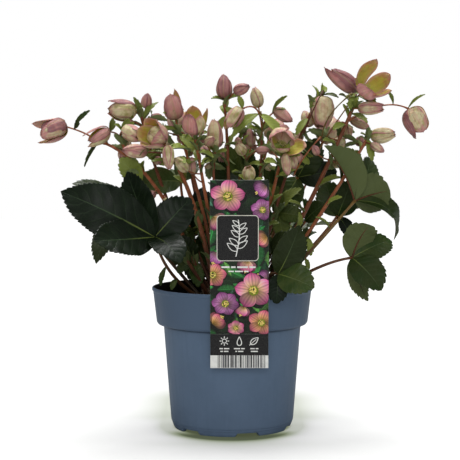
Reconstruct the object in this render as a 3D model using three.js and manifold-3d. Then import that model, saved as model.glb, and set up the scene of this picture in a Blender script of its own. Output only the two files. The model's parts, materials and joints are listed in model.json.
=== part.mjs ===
// A hellebore in flower, in its plastic nursery pot, with the grower's picture label.
// Units are millimetres, +Z is up, -Y is the front. The origin is on the ground under the pot's centre.

import * as THREE from 'three';
import { mergeVertices } from 'three/addons/utils/BufferGeometryUtils.js';
import Module from 'manifold-3d';

const wasm = await Module();
wasm.setup();

// ---------------------------------------------------------------- driving dimensions

const GAP = 0.35;                 // clearance left between two pieces that touch

const POT_HEIGHT = 168;
const RIM_RADIUS = 95.5;          // a 19 cm nursery pot
const BAND_BOTTOM = 127;          // the deep rim band starts above this step
const WALL = 2;
const FOOT_RADIUS = 69;
const FOOT_NOTCHES = 6;
const NOTCH_WIDTH = 28;
const NOTCH_HEIGHT = 4.5;
const NOTCH_TURN = 15;            // degrees from the front to the first notch
const DRAIN_HOLES = 6;
const DRAIN_RADIUS = 2;
const DRAIN_CIRCLE = 56;

const SOIL_TOP = 150;
const CROWN_BASE = SOIL_TOP + 1 + GAP;
const CROWN_RADIUS = 46;
const FOOT_LEVEL = 154;           // stems and leaf stalks start here, inside the crown

const CARD_WIDTH = 66;
const CARD_HEIGHT = 215;
const CARD_THICKNESS = 0.8;
const CARD_BOTTOM = 84;
const CARD_CENTRE_X = 8;
const CARD_LEAN = 4.75;           // degrees, the top leans out to the front
const CLIP_WIDTH = 24;
const CLIP_THICKNESS = 0.6;
const CLIP_DEPTH = 15;            // how far the hook reaches down inside the rim
const CLIP_LOW = 140;             // and where its outer leg ends

const STEM_RADIUS = 2.4;
const LEAF_STALK_RADIUS = 2;
const FLOWER_STALK_RADIUS = 1.3;
const BLADE_THICKNESS = 1.8;      // at the midrib; the edges are sharp
const BLADE_ARCH = 0.08;          // rise of the midrib's middle, as a share of the blade's length
const BLADE_FOLD = 0.12;          // rise of the edges over the midrib, as a share of the half width
const BLADE_OUTLINE = [[0.1, 0.42], [0.3, 0.86], [0.56, 1], [0.83, 0.72]];   // [share of length, breadth]

// ---------------------------------------------------------------- small geometry helpers

const radians = degrees => degrees * Math.PI / 180;
const point = ([x, y, z]) => new THREE.Vector3(x, y, z);

// A closed geometry becomes a manifold solid with its faces pointing out.
function solidOf(geometry) {
  const bare = geometry.clone();
  for (const name of Object.keys(bare.attributes)) {
    if (name !== 'position') bare.deleteAttribute(name);
  }
  const merged = mergeVertices(bare, 1e-4);
  const corners = [];
  const index = merged.index.array;
  for (let i = 0; i < index.length; i += 3) {
    const [a, b, c] = [index[i], index[i + 1], index[i + 2]];
    if (a !== b && b !== c && c !== a) corners.push(a, b, c);
  }
  const vertProperties = new Float32Array(merged.attributes.position.array);
  if (signedVolume(vertProperties, corners) < 0) corners.reverse();
  return new wasm.Manifold(new wasm.Mesh({ numProp: 3, vertProperties, triVerts: new Uint32Array(corners) }));
}

function signedVolume(positions, corners) {
  const at = i => new THREE.Vector3().fromArray(positions, 3 * i);
  let volume = 0;
  for (let i = 0; i < corners.length; i += 3) {
    volume += at(corners[i]).dot(at(corners[i + 1]).cross(at(corners[i + 2]))) / 6;
  }
  return volume;
}

function geometryOf(solid) {
  const mesh = solid.getMesh();
  const geometry = new THREE.BufferGeometry();
  geometry.setAttribute('position', new THREE.BufferAttribute(mesh.vertProperties.slice(), 3));
  geometry.setIndex(new THREE.BufferAttribute(mesh.triVerts.slice(), 1));
  geometry.computeVertexNormals();
  return geometry;
}

// The Bezier curve from start to end that passes through middle.
function curveThrough(start, middle, end) {
  const control = middle.clone().multiplyScalar(2).addScaledVector(start, -0.5).addScaledVector(end, -0.5);
  return new THREE.QuadraticBezierCurve3(start, control, end);
}

function tube(curve, radius, sides = 6, steps = 6) {
  const corners = [];
  for (let i = 0; i < sides; i++) {
    const angle = 2 * Math.PI * i / sides;
    corners.push(new THREE.Vector2(radius * Math.cos(angle), radius * Math.sin(angle)));
  }
  const section = new THREE.Shape(corners);
  return solidOf(new THREE.ExtrudeGeometry(section, { steps, bevelEnabled: false, extrudePath: curve }));
}

// A turned solid: the profile's [radius, height] points turn about +Z.
function turned(profile, segments) {
  const lathe = new THREE.LatheGeometry(profile.map(([r, z]) => new THREE.Vector2(r, z)), segments);
  return solidOf(lathe.rotateX(Math.PI / 2));
}

// A skin over rings of points, closed to a point at each end.
function loft(start, rings, end) {
  const corners = [start, ...rings.flat(), end];
  const faces = [];
  const count = rings[0].length;
  const last = corners.length - 1;
  for (let i = 0; i < count; i++) {
    const next = (i + 1) % count;
    faces.push(0, 1 + next, 1 + i);
    for (let r = 0; r < rings.length - 1; r++) {
      const low = 1 + r * count;
      const high = low + count;
      faces.push(low + i, low + next, high + next, low + i, high + next, high + i);
    }
    const top = 1 + (rings.length - 1) * count;
    faces.push(last, top + i, top + next);
  }
  const geometry = new THREE.BufferGeometry();
  geometry.setAttribute('position', new THREE.Float32BufferAttribute(corners.flatMap(p => p.toArray()), 3));
  geometry.setIndex(faces);
  return solidOf(geometry);
}

// ---------------------------------------------------------------- placing pieces

const plant = new THREE.Group();
const placed = [];

function addMesh(name, solid, colour, roughness) {
  const material = new THREE.MeshStandardMaterial({ color: colour, roughness, metalness: 0 });
  const mesh = new THREE.Mesh(geometryOf(solid), material);
  mesh.name = name;
  plant.add(mesh);
}

function boxesMeet(a, b) {
  const [p, q] = [a.boundingBox(), b.boundingBox()];
  return [0, 1, 2].every(i => p.min[i] < q.max[i] && q.min[i] < p.max[i]);
}

// A piece gives way to the pieces placed before it and keeps GAP to each of them.
// build(grow) makes it, everywhere larger by grow.
function place(name, build, colour, roughness = 0.6) {
  let solid = build(0);
  for (const earlier of placed) {
    if (boxesMeet(solid, earlier)) solid = solid.subtract(earlier);
  }
  const bodies = solid.decompose().sort((a, b) => b.volume() - a.volume());
  addMesh(name, bodies[0], colour, roughness);
  placed.push(build(GAP));
}

// ---------------------------------------------------------------- pot, soil and crown

function pot() {
  const profile = [
    [0, 4], [64, 4], [65, 0], [FOOT_RADIUS, 0], [70.5, 3], [73.2, 12], [81.8, 123], [88.5, 124.5],
    [90, BAND_BOTTOM], [94.2, POT_HEIGHT - 2], [RIM_RADIUS, POT_HEIGHT - 1], [95, POT_HEIGHT],
    [92.5, POT_HEIGHT], [90 - WALL, BAND_BOTTOM], [80, 122], [71, 12], [66, 6], [0, 6],
  ];
  let solid = turned(profile, 40);
  for (let i = 0; i < FOOT_NOTCHES; i++) {
    const turn = radians(NOTCH_TURN + i * 360 / FOOT_NOTCHES);
    const cut = new THREE.BoxGeometry(NOTCH_WIDTH, 16, 2 * NOTCH_HEIGHT);
    cut.translate(0, -FOOT_RADIUS, 0).rotateZ(turn);
    solid = solid.subtract(solidOf(cut));
  }
  for (let i = 0; i < DRAIN_HOLES; i++) {
    const turn = radians(NOTCH_TURN + i * 360 / DRAIN_HOLES);
    const cut = new THREE.CylinderGeometry(DRAIN_RADIUS, DRAIN_RADIUS, 8, 12);
    cut.rotateX(Math.PI / 2).translate(0, -DRAIN_CIRCLE, 5).rotateZ(turn);
    solid = solid.subtract(solidOf(cut));
  }
  return solid;
}

function soil() {
  return turned([
    [0, 6.4], [65.5, 6.4], [70.5, 12], [79.5, 122.3], [87.5, 127.3], [89.8, SOIL_TOP - 1], [88.5, SOIL_TOP],
    [50, SOIL_TOP + 1], [0, SOIL_TOP + 1],
  ], 36);
}

function crown(grow) {
  const base = CROWN_BASE - grow;
  return turned([
    [0, base], [CROWN_RADIUS + grow, base], [45 + grow, CROWN_BASE + 2], [36 + grow, CROWN_BASE + 5 + grow],
    [20, CROWN_BASE + 8 + grow], [0, CROWN_BASE + 9 + grow],
  ], 18);
}

addMesh('pot', pot(), 0x48586a, 0.45);
addMesh('soil', soil(), 0x1c1512, 0.95);
place('crown', crown, 0x4a3122, 0.85);

// ---------------------------------------------------------------- label card and its rim clip

// The y of the card's back face at a height: it leans on the clip, which hooks over the rim.
const CARD_AT_RIM = -(RIM_RADIUS + 2 * GAP + CLIP_THICKNESS);
const cardBack = z => CARD_AT_RIM - (z - POT_HEIGHT) * Math.tan(radians(CARD_LEAN));

function labelCard() {
  const [w, h, r] = [CARD_WIDTH / 2, CARD_HEIGHT / 2, 3];
  const outline = new THREE.Shape();
  outline.absarc(w - r, h - r, r, 0, Math.PI / 2);
  outline.absarc(r - w, h - r, r, Math.PI / 2, Math.PI);
  outline.absarc(r - w, r - h, r, Math.PI, 1.5 * Math.PI);
  outline.absarc(w - r, r - h, r, 1.5 * Math.PI, 2 * Math.PI);
  const options = { depth: CARD_THICKNESS, bevelEnabled: false, curveSegments: 3 };
  const card = new THREE.ExtrudeGeometry(outline, options);
  const middle = CARD_BOTTOM + h;
  card.rotateX(radians(90 + CARD_LEAN)).translate(CARD_CENTRE_X, cardBack(middle), middle);
  return solidOf(card);
}

// A hook of flat strip: its [y, z] outline is pushed along x.
function labelClip() {
  const top = POT_HEIGHT + GAP + CLIP_THICKNESS;
  const under = top - CLIP_THICKNESS;
  const foot = POT_HEIGHT - CLIP_DEPTH;
  const front = z => cardBack(z) + GAP;
  const outline = [
    [front(CLIP_LOW), CLIP_LOW], [front(top), top],
    [-89.3, top], [-87.6, foot], [-88.2, foot], [-89.9, under],
    [front(under) + CLIP_THICKNESS, under], [front(CLIP_LOW) + CLIP_THICKNESS, CLIP_LOW],
  ];
  const shape = new THREE.Shape(outline.map(([y, z]) => new THREE.Vector2(y, z)));
  const strip = new THREE.ExtrudeGeometry(shape, { depth: CLIP_WIDTH, bevelEnabled: false });
  strip.rotateY(Math.PI / 2).rotateX(Math.PI / 2).translate(CARD_CENTRE_X - CLIP_WIDTH / 2, 0, 0);
  return solidOf(strip);
}

addMesh('label_card', labelCard(), 0x3f6a48, 0.4);
addMesh('label_clip', labelClip(), 0xe8e8e4, 0.4);

// ---------------------------------------------------------------- stems

// Each stem rises from its foot in the crown, through a point halfway along, to its top. A bud on a
// short side stalk leaves the stem at a share of its length: [share, base, tip, width]. A leafy bract
// does the same: [share, tip, width, facing].
const STEMS = {
  stem_01: {
    foot: [-30, -7], middle: [-88, -18, 284], top: [-159, -20, 342],
    buds: [[0.5, [-91, -26, 282], [-99, -32, 273], 9], [0.48, [-78, -25, 274], [-76, -32, 265], 8]],
  },
  stem_02: {
    foot: [-24, -15], middle: [-94, -36, 272], top: [-131, -27, 345], thick: 2.2,
    bracts: [[0.62, [-130, -44, 322], 24, [-0.2, -0.9, 0.3]]],
  },
  stem_03: {
    foot: [-25, 8], middle: [-78, 8, 272], top: [-108, 0, 372],
    buds: [[0.97, [-103, 14, 380], [-101, 10, 397], 13], [0.9, [-118, -18, 366], [-122, -24, 352], 8]],
  },
  stem_04: { foot: [-18, -22], middle: [-46, -38, 270], top: [-78, -60, 334], thick: 3 },
  stem_05: { foot: [-13, 11], middle: [-40, 11, 275], top: [-67, 10, 362] },
  stem_06: {
    foot: [-10, -9], middle: [-29, -24, 264], top: [-43, -35, 345],
    buds: [[0.72, [-52, -60, 307], [-65, -70, 322], 12], [0.66, [-46, -44, 303], [-47, -46, 322], 9]],
  },
  stem_07: {
    foot: [-6, -24], middle: [-20, -20, 262], top: [-20, -17, 328], thick: 2,
    buds: [[0.95, [-30, -34, 338], [-22, -48, 345], 10]],
  },
  stem_08: {
    foot: [-3, 16], middle: [-4, 14, 285], top: [-9, 15, 387],
    buds: [[0.98, [2, 8, 399], [20, 0, 406], 13]],
  },
  stem_09: {
    foot: [13, 2], middle: [30, 2, 262], top: [35, 0, 356], thick: 2.2,
    buds: [[0.99, [32, 26, 381], [26, 28, 404], 15]],
  },
  stem_10: {
    foot: [17, -12], middle: [40, -40, 252], top: [58, -60, 330],
    buds: [[0.96, [68, -52, 330], [72, -54, 310], 11]],
  },
  stem_11: {
    foot: [5, 8], middle: [12, 14, 250], top: [18, 18, 322], thick: 2,
    buds: [
      [0.99, [23, 22, 334], [21, 22, 356], 12], [0.95, [14, -12, 326], [6, -24, 338], 12],
      [0.97, [28, -22, 330], [43, -28, 331], 10],
    ],
  },
  stem_12: {
    foot: [24, 9], middle: [70, 12, 316], top: [108, 10, 398], thick: 2,
    buds: [[0.72, [94, 22, 358], [87, 24, 376], 15]],
  },
  stem_13: {
    foot: [32, -5], middle: [98, -9, 282], top: [147, -10, 392], thick: 3,
    buds: [
      [0.88, [141, 10, 368], [163, 12, 357], 13], [0.84, [132, 12, 364], [130, 14, 350], 10],
      [0.72, [122, 8, 334], [134, 12, 343], 14], [0.66, [100, -24, 325], [95, -28, 336], 9],
    ],
  },
  stem_14: {
    foot: [37, -15], middle: [104, -24, 256], top: [159, -16, 344], thick: 2.6,
    buds: [[0.97, [162, -28, 338], [176, -34, 329], 10]],
  },
  stem_15: { foot: [-15, 22], middle: [-42, 56, 262], top: [-60, 84, 348] },
  stem_16: { foot: [11, 26], middle: [28, 64, 262], top: [46, 88, 342] },
};

// ---------------------------------------------------------------- flowers

// A flower sits on its own stalk, which leaves a stem at a share of its length, or the crown at a
// foot. via, where given, is a point halfway along the stalk. Shapes: a closed bud, a half open
// flower, and an open bowl.
const FLOWERS = {
  flower_01: { on: ['stem_01', 1], base: [-195, -20, 360], tip: [-227, -38, 348], width: 28, shape: 'half' },
  flower_02: { on: ['stem_02', 1], base: [-143, -32, 354], tip: [-167, -44, 339], width: 23, shape: 'half' },
  flower_03: { on: ['stem_02', 1], base: [-126, -38, 355], tip: [-106, -52, 345], width: 19, shape: 'half' },
  flower_04: { on: ['stem_03', 1], base: [-114, -10, 376], tip: [-144, -24, 377], width: 24, shape: 'half' },
  flower_05: { on: ['stem_04', 1], base: [-78, -66, 344], tip: [-99, -90, 354], width: 32, shape: 'open' },
  flower_06: { on: ['stem_04', 0.92], base: [-98, -56, 329], tip: [-124, -66, 331], width: 15, shape: 'bud' },
  flower_07: { on: ['stem_04', 0.97], base: [-73, -86, 337], tip: [-71, -93, 311], width: 13, shape: 'bud' },
  flower_08: { on: ['stem_05', 1], base: [-67, 10, 367], tip: [-74, 5, 397], width: 25, shape: 'half' },
  flower_09: { on: ['stem_06', 1], base: [-43, -36, 350], tip: [-44, -45, 377], width: 29, shape: 'open' },
  flower_10: { on: ['stem_07', 1], base: [-19, -15, 333], tip: [-21, -20, 367], width: 19, shape: 'half' },
  flower_11: { on: ['stem_08', 1], base: [-9, 15, 391], tip: [-10, 15, 419], width: 19, shape: 'bud' },
  flower_12: {
    on: ['stem_09', 0.98], via: [28, -14, 379],
    base: [10, -18, 379], tip: [-4, -28, 358], width: 20, shape: 'half',
  },
  flower_13: { on: ['stem_09', 1], base: [50, 0, 378], tip: [70, -10, 365], width: 14, shape: 'bud' },
  flower_14: { on: ['stem_10', 1], base: [57, -64, 336], tip: [56, -88, 349], width: 32, shape: 'open' },
  flower_15: { on: ['stem_10', 0.9], base: [60, -74, 327], tip: [63, -84, 304], width: 14, shape: 'bud' },
  flower_16: {
    foot: [6, -34], via: [20, -52, 240],
    base: [19, -70, 297], tip: [19, -77, 313], width: 15, shape: 'bud',
  },
  flower_17: { on: ['stem_12', 1], base: [108, 10, 394], tip: [106, 4, 357], width: 27, shape: 'half' },
  flower_18: { on: ['stem_13', 1], base: [152, -21, 399], tip: [173, -40, 417], width: 42, shape: 'open' },
  flower_19: {
    on: ['stem_13', 0.94], via: [139, 8, 388],
    base: [147, 5, 400], tip: [117, 3, 426], width: 20, shape: 'bud',
  },
  flower_20: { on: ['stem_13', 0.94], base: [147, -24, 379], tip: [176, -32, 380], width: 14, shape: 'bud' },
  flower_21: {
    on: ['stem_13', 0.86], via: [178, -2, 383],
    base: [211, 4, 380], tip: [226, 0, 352], width: 28, shape: 'half',
  },
  flower_22: { on: ['stem_14', 1], base: [163, -16, 346], tip: [190, -27, 350], width: 17, shape: 'half' },
  flower_23: { on: ['stem_15', 1], base: [-61, 87, 353], tip: [-74, 100, 378], width: 26, shape: 'half' },
  flower_24: { on: ['stem_15', 0.93], base: [-40, 92, 343], tip: [-24, 106, 332], width: 16, shape: 'bud' },
  flower_25: { on: ['stem_16', 1], base: [48, 92, 346], tip: [60, 112, 358], width: 28, shape: 'open' },
  flower_26: { on: ['stem_16', 0.92], base: [24, 96, 336], tip: [12, 114, 322], width: 22, shape: 'half' },
  flower_27: {
    foot: [30, 17], via: [74, 44, 250],
    base: [112, 70, 342], tip: [128, 88, 364], width: 26, shape: 'half',
  },
};

// Turned outlines, [radius, height] with the widest part and the length both 1. The open ones have
// a hollow as their inside.
const FLOWER_OUTLINES = {
  bud: [[0, 0], [0.3, 0.06], [0.5, 0.32], [0.48, 0.55], [0.3, 0.85], [0, 1]],
  half: [[0, 0], [0.28, 0.05], [0.47, 0.3], [0.5, 0.62], [0.44, 1], [0.38, 0.98], [0.36, 0.55], [0, 0.22]],
  open: [[0, 0], [0.22, 0.05], [0.4, 0.35], [0.5, 1], [0.44, 0.98], [0.32, 0.45], [0, 0.2]],
};

// ---------------------------------------------------------------- leaves

// A leaf has a stalk from the crown, through a point halfway along, to its hub, where the toothed
// leaflets meet. Each leaflet is [tip, width, facing]: facing is where its upper side looks.
const LEAVES = {
  leaf_left_large: {
    foot: [-34, -20], middle: [-70, -52, 188], hub: [-88, -84, 233],
    leaflets: [
      [[-191, -100, 287], 60, [-0.1, -0.95, 0.3]], [[-121, -62, 307], 42, [-0.3, -0.9, 0.15]],
      [[-152, -143, 234], 50, [0, -0.85, 0.5]], [[-57, -127, 212], 40, [0.2, -0.7, 0.7]],
      [[-47, -74, 277], 42, [0.1, -0.95, 0.25]],
    ],
  },
  leaf_left_back: {
    foot: [-18, 1], middle: [-50, 22, 232], hub: [-62, 24, 292],
    leaflets: [
      [[-113, 2, 289], 36, [0, -0.8, 0.5]], [[-100, 62, 300], 34, [-0.3, 0.3, 0.9]],
      [[-50, 50, 322], 30, [0.3, 0.4, 0.8]],
    ],
  },
  leaf_left_far: {
    foot: [-37, 3], middle: [-84, 14, 208], hub: [-124, 26, 256],
    leaflets: [
      [[-190, 8, 292], 40, [-0.2, -0.5, 0.9]], [[-160, -44, 202], 34, [-0.4, -0.6, 0.6]],
      [[-168, 78, 262], 44, [-0.3, 0.3, 0.9]], [[-116, 92, 232], 40, [0, 0.5, 0.8]],
    ],
  },
  leaf_mid_left: {
    foot: [-22, 14], middle: [-32, 34, 190], hub: [-38, 40, 228],
    leaflets: [
      [[-36, 24, 284], 40, [0, -0.9, 0.2]], [[-70, 0, 214], 30, [-0.2, 0.5, 0.7]],
      [[-92, 72, 216], 36, [-0.2, 0.4, 0.9]], [[-20, 16, 186], 32, [0.2, -0.9, 0.3]],
    ],
  },
  leaf_right_upper: {
    foot: [38, -22], middle: [94, -50, 218], hub: [143, -36, 272],
    leaflets: [
      [[106, -50, 336], 38, [0.8, 0.6, 0.1]], [[184, -30, 284], 50, [0.1, 0.9, 0.3]],
      [[205, 4, 232], 30, [0.3, -0.6, 0.7]], [[164, 8, 322], 32, [0.6, -0.7, 0.1]],
    ],
  },
  leaf_right_back: {
    foot: [36, 8], middle: [84, 22, 200], hub: [128, 34, 250],
    leaflets: [
      [[143, 16, 294], 36, [0, -0.9, 0.2]], [[112, 36, 292], 36, [-0.2, -0.8, 0.2]],
      [[143, 26, 224], 22, [0.3, -0.5, 0.8]], [[186, 84, 256], 42, [0.3, 0.3, 0.9]],
      [[124, 98, 258], 40, [0, 0.5, 0.8]],
    ],
  },
  leaf_right_lower: {
    foot: [42, -10], middle: [92, -38, 190], hub: [139, -44, 206],
    leaflets: [
      [[158, -54, 246], 42, [-0.4, 0.8, 0.3]], [[190, -22, 228], 34, [0.3, -0.8, 0.5]],
      [[172, -66, 171], 42, [0.2, -0.85, 0.45]], [[158, -30, 154], 24, [-0.5, 0.6, 0.5]],
    ],
  },
  leaf_front_right: {
    foot: [24, -30], middle: [38, -64, 184], hub: [52, -86, 191],
    leaflets: [
      [[76, -96, 247], 38, [0.3, -0.9, 0.2]], [[92, -106, 178], 38, [0.1, -0.95, 0.3]],
      [[50, -93, 158], 24, [0.1, -1, 0.1]],
    ],
  },
  leaf_right_mid: {
    foot: [19, 14], middle: [52, 38, 232], hub: [80, 54, 296],
    leaflets: [
      [[104, 46, 344], 36, [0.2, -0.9, 0.2]], [[128, 50, 304], 34, [0.2, -0.6, 0.8]],
      [[84, 112, 304], 38, [0.1, 0.5, 0.8]], [[54, 32, 250], 38, [0, -0.9, 0.3]],
    ],
  },
  leaf_back_left: {
    foot: [-20, 32], middle: [-44, 66, 202], hub: [-66, 92, 240],
    leaflets: [
      [[-120, 132, 256], 42, [-0.3, 0.3, 0.9]], [[-58, 145, 268], 42, [0, 0.2, 1]],
      [[-26, 136, 232], 38, [0.3, 0.4, 0.9]], [[-70, 66, 188], 34, [0, -0.9, 0.3]],
    ],
  },
  leaf_back_middle: {
    foot: [0, 34], middle: [2, 70, 228], hub: [4, 88, 284],
    leaflets: [
      [[-34, 126, 310], 38, [-0.3, 0.2, 0.9]], [[10, 142, 306], 40, [0, 0.1, 1]],
      [[46, 120, 296], 38, [0.4, 0.2, 0.9]], [[-24, 54, 326], 36, [-0.1, -0.9, 0.3]],
      [[26, 44, 324], 38, [0.2, -0.9, 0.3]],
    ],
  },
  leaf_back_right: {
    foot: [24, 31], middle: [52, 70, 190], hub: [78, 98, 224],
    leaflets: [
      [[130, 132, 234], 42, [0.3, 0.3, 0.9]], [[72, 147, 240], 44, [0, 0.2, 1]],
      [[34, 138, 208], 38, [-0.3, 0.4, 0.9]],
    ],
  },
};

// ---------------------------------------------------------------- making a growing piece

const footPoint = ([x, y]) => new THREE.Vector3(x, y, FOOT_LEVEL);

// A stem's curve, carried on past its top by extra.
function stemCurve(stem, extra = 0) {
  const curve = curveThrough(footPoint(stem.foot), point(stem.middle), point(stem.top));
  curve.v2.addScaledVector(curve.getTangent(1), extra);
  return curve;
}

function pointedBody(outline, base, tip, width, grow, segments) {
  const axis = tip.clone().sub(base);
  const length = axis.length() + 2 * grow;
  axis.normalize();
  const profile = outline.map(([r, z]) => new THREE.Vector2(r * (width + 2 * grow), z * length));
  const lathe = new THREE.LatheGeometry(profile, segments);
  const pose = new THREE.Matrix4().compose(
    base.clone().addScaledVector(axis, -grow),
    new THREE.Quaternion().setFromUnitVectors(new THREE.Vector3(0, 1, 0), axis),
    new THREE.Vector3(1, 1, 1),
  );
  return solidOf(lathe.applyMatrix4(pose));
}

// A short stalk from start to a flower's base, ending a little inside the flower.
function flowerStalk(start, via, base, tip, grow, sides = 5, steps = 4) {
  const end = base.clone().lerp(tip, 0.1);
  const leaving = base.clone().sub(tip).normalize();
  const middle = via ?? start.clone().add(base).multiplyScalar(0.5).addScaledVector(leaving, 1.5);
  return tube(curveThrough(start, middle, end), FLOWER_STALK_RADIUS + grow, sides, steps);
}

// A flat leaf shape from its root to its tip, thick along the midrib and sharp at the edges.
function blade(root, tip, width, facing, grow) {
  const along = tip.clone().sub(root);
  const length = along.length();
  along.normalize();
  const side = along.clone().cross(point(facing)).normalize();
  const up = side.clone().cross(along);
  const middle = root.clone().add(tip).multiplyScalar(0.5).addScaledVector(up, length * BLADE_ARCH);
  const heel = root.clone().addScaledVector(along, -1.5 - grow);
  const midrib = curveThrough(heel, middle, tip.clone().addScaledVector(along, grow));
  const rings = BLADE_OUTLINE.map(([share, breadth]) => {
    const centre = midrib.getPoint(share);
    const reach = width / 2 * breadth + grow;
    const fold = reach * BLADE_FOLD;
    const rise = (BLADE_THICKNESS / 2 + grow) * Math.min(1, 1.6 - share);
    return [
      centre.clone().addScaledVector(side, -reach).addScaledVector(up, fold),
      centre.clone().addScaledVector(up, -rise),
      centre.clone().addScaledVector(side, reach).addScaledVector(up, fold),
      centre.clone().addScaledVector(up, rise),
    ];
  });
  return loft(midrib.getPoint(0), rings, midrib.getPoint(1));
}

function growStem(stem, grow) {
  const curve = stemCurve(stem, grow);
  let solid = tube(curve, (stem.thick ?? STEM_RADIUS) + grow, 6, 6);
  for (const [share, from, to, width] of stem.buds ?? []) {
    const [base, tip] = [point(from), point(to)];
    solid = solid.add(flowerStalk(curve.getPoint(share), null, base, tip, grow, 4, 3));
    solid = solid.add(pointedBody(FLOWER_OUTLINES.bud, base, tip, width, grow, 6));
  }
  for (const [share, tip, width, facing] of stem.bracts ?? []) {
    solid = solid.add(blade(curve.getPoint(share), point(tip), width, facing, grow));
  }
  return solid;
}

function growFlower(flower, grow) {
  const start = flower.on ? stemCurve(STEMS[flower.on[0]]).getPoint(flower.on[1]) : footPoint(flower.foot);
  const [base, tip] = [point(flower.base), point(flower.tip)];
  const stalk = flowerStalk(start, flower.via && point(flower.via), base, tip, grow);
  return stalk.add(pointedBody(FLOWER_OUTLINES[flower.shape], base, tip, flower.width, grow, 7));
}

function growLeaf(leaf, grow) {
  const hub = point(leaf.hub);
  const stalk = curveThrough(footPoint(leaf.foot), point(leaf.middle), hub);
  let solid = tube(stalk, LEAF_STALK_RADIUS + grow, 6, 5);
  for (const [tip, width, facing] of leaf.leaflets) {
    solid = solid.add(blade(hub, point(tip), width, facing, grow));
  }
  return solid;
}

for (const [name, stem] of Object.entries(STEMS)) place(name, grow => growStem(stem, grow), 0x7a4530);
for (const [name, flower] of Object.entries(FLOWERS)) place(name, grow => growFlower(flower, grow), 0xb58a8c);
for (const [name, leaf] of Object.entries(LEAVES)) place(name, grow => growLeaf(leaf, grow), 0x24382a);

export default plant;
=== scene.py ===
# %% [markdown]
# # A flowering hellebore in its nursery pot
# The object is a plant of many pieces: a plastic pot with compost, a crown, leafless flower stems,
# hand-shaped leaves, nodding flowers and a picture label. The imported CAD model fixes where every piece
# is. Here each one gets its real surface. The frame is in metres, +Z is up, and the label is at -Y.

# %% Load the frame
import json
import math
import random

import bpy
import numpy as np
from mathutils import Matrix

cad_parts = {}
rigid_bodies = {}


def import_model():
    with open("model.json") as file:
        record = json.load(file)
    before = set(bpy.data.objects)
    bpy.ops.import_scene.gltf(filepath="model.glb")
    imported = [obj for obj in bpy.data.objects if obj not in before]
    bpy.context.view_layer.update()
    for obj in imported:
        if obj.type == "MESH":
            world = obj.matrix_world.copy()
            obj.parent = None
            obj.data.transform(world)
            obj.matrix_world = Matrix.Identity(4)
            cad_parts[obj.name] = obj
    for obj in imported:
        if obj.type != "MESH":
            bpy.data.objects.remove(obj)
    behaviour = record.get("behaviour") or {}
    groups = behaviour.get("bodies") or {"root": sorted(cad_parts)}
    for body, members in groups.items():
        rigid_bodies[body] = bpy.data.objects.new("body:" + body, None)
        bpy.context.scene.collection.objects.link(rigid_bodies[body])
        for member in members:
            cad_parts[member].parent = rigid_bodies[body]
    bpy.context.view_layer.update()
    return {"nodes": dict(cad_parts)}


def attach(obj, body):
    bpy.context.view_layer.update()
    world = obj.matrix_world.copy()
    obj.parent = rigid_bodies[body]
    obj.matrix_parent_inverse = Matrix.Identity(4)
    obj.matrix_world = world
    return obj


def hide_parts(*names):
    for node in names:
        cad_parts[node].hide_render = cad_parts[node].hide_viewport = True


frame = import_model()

print("frame loaded:", len(frame["nodes"]), "nodes")

# %% [markdown]
# ## The camera
# A long lens from almost two metres away keeps the pot's sides nearly parallel. The camera looks down
# by a few degrees, so the rim shows as a thin ellipse. It comes first, because everything that
# follows is seen through it.

# %% Camera
SENSOR_MM = 36
LENS_MM = 118.6
CAMERA_PLACE = (-0.0026, -1.8, 0.358)
LOOK_DOWN = 3.9


def show(name, data):
    """A new object in the scene that holds this data."""
    thing = bpy.data.objects.new(name, data)
    bpy.context.scene.collection.objects.link(thing)
    return thing


lens = bpy.data.cameras.new("camera")
lens.lens = LENS_MM
lens.sensor_width = SENSOR_MM
camera = show("camera", lens)
camera.location = CAMERA_PLACE
camera.rotation_euler = (math.radians(90 - LOOK_DOWN), 0, 0)
bpy.context.scene.camera = camera
print("camera at", CAMERA_PLACE)

# %% [markdown]
# ## Lengths, curves and colours
# Places are written in millimetres, as they were laid out in the CAD model, and turned into metres in
# one spot. A stem is a quadratic Bezier curve through a point halfway along, exactly as in the CAD
# model, so the fine stem lies where the plain one does.

# %% Small helpers
MM = 0.001


def metres(place):
    return np.array(place, float) * MM


def unit(vector):
    return vector / max(float(np.linalg.norm(vector)), 1e-12)


def units(rows):
    """Every vector of an array, brought to length one."""
    return rows / np.maximum(np.linalg.norm(rows, axis=-1, keepdims=True), 1e-12)


def around_pot(radius, angle):
    """The x and y of a place this far from the pot's axis. The angle in degrees starts at the front."""
    heading = math.radians(angle)
    return radius * math.sin(heading), -radius * math.cos(heading)


def smooth(value, low, high):
    """0 below low, 1 above high, with a soft step between them."""
    share = np.clip((np.asarray(value, float) - low) / (high - low), 0, 1)
    return share * share * (3 - 2 * share)


def curve_through(start, middle, end, shares):
    """Points of the quadratic Bezier curve from start to end that passes through middle."""
    control = 2 * middle - (start + end) / 2
    t = np.asarray(shares, float)[:, None]
    return (1 - t) ** 2 * start + 2 * t * (1 - t) * control + t ** 2 * end


def paint(red, green, blue):
    """A colour as a paint chart gives it, 0 to 255, in the linear numbers that shaders use."""
    values = np.array([red, green, blue]) / 255
    linear = np.where(values <= 0.04045, values / 12.92, ((values + 0.055) / 1.055) ** 2.4)
    return (*linear.tolist(), 1.0)


# %% [markdown]
# ## Skins
# Leaves, tepals and stems are all bent surfaces, so they are made as grids of points in code. A `Skin`
# gathers several grids into one mesh. It keeps a UV place for each point, across and along the leaf,
# and three marks that the materials read: `side` (0 on the upper or outer face, 1 on the other),
# `tone` (how this copy differs from the next) and `blush` (how pink a flower is).

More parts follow.
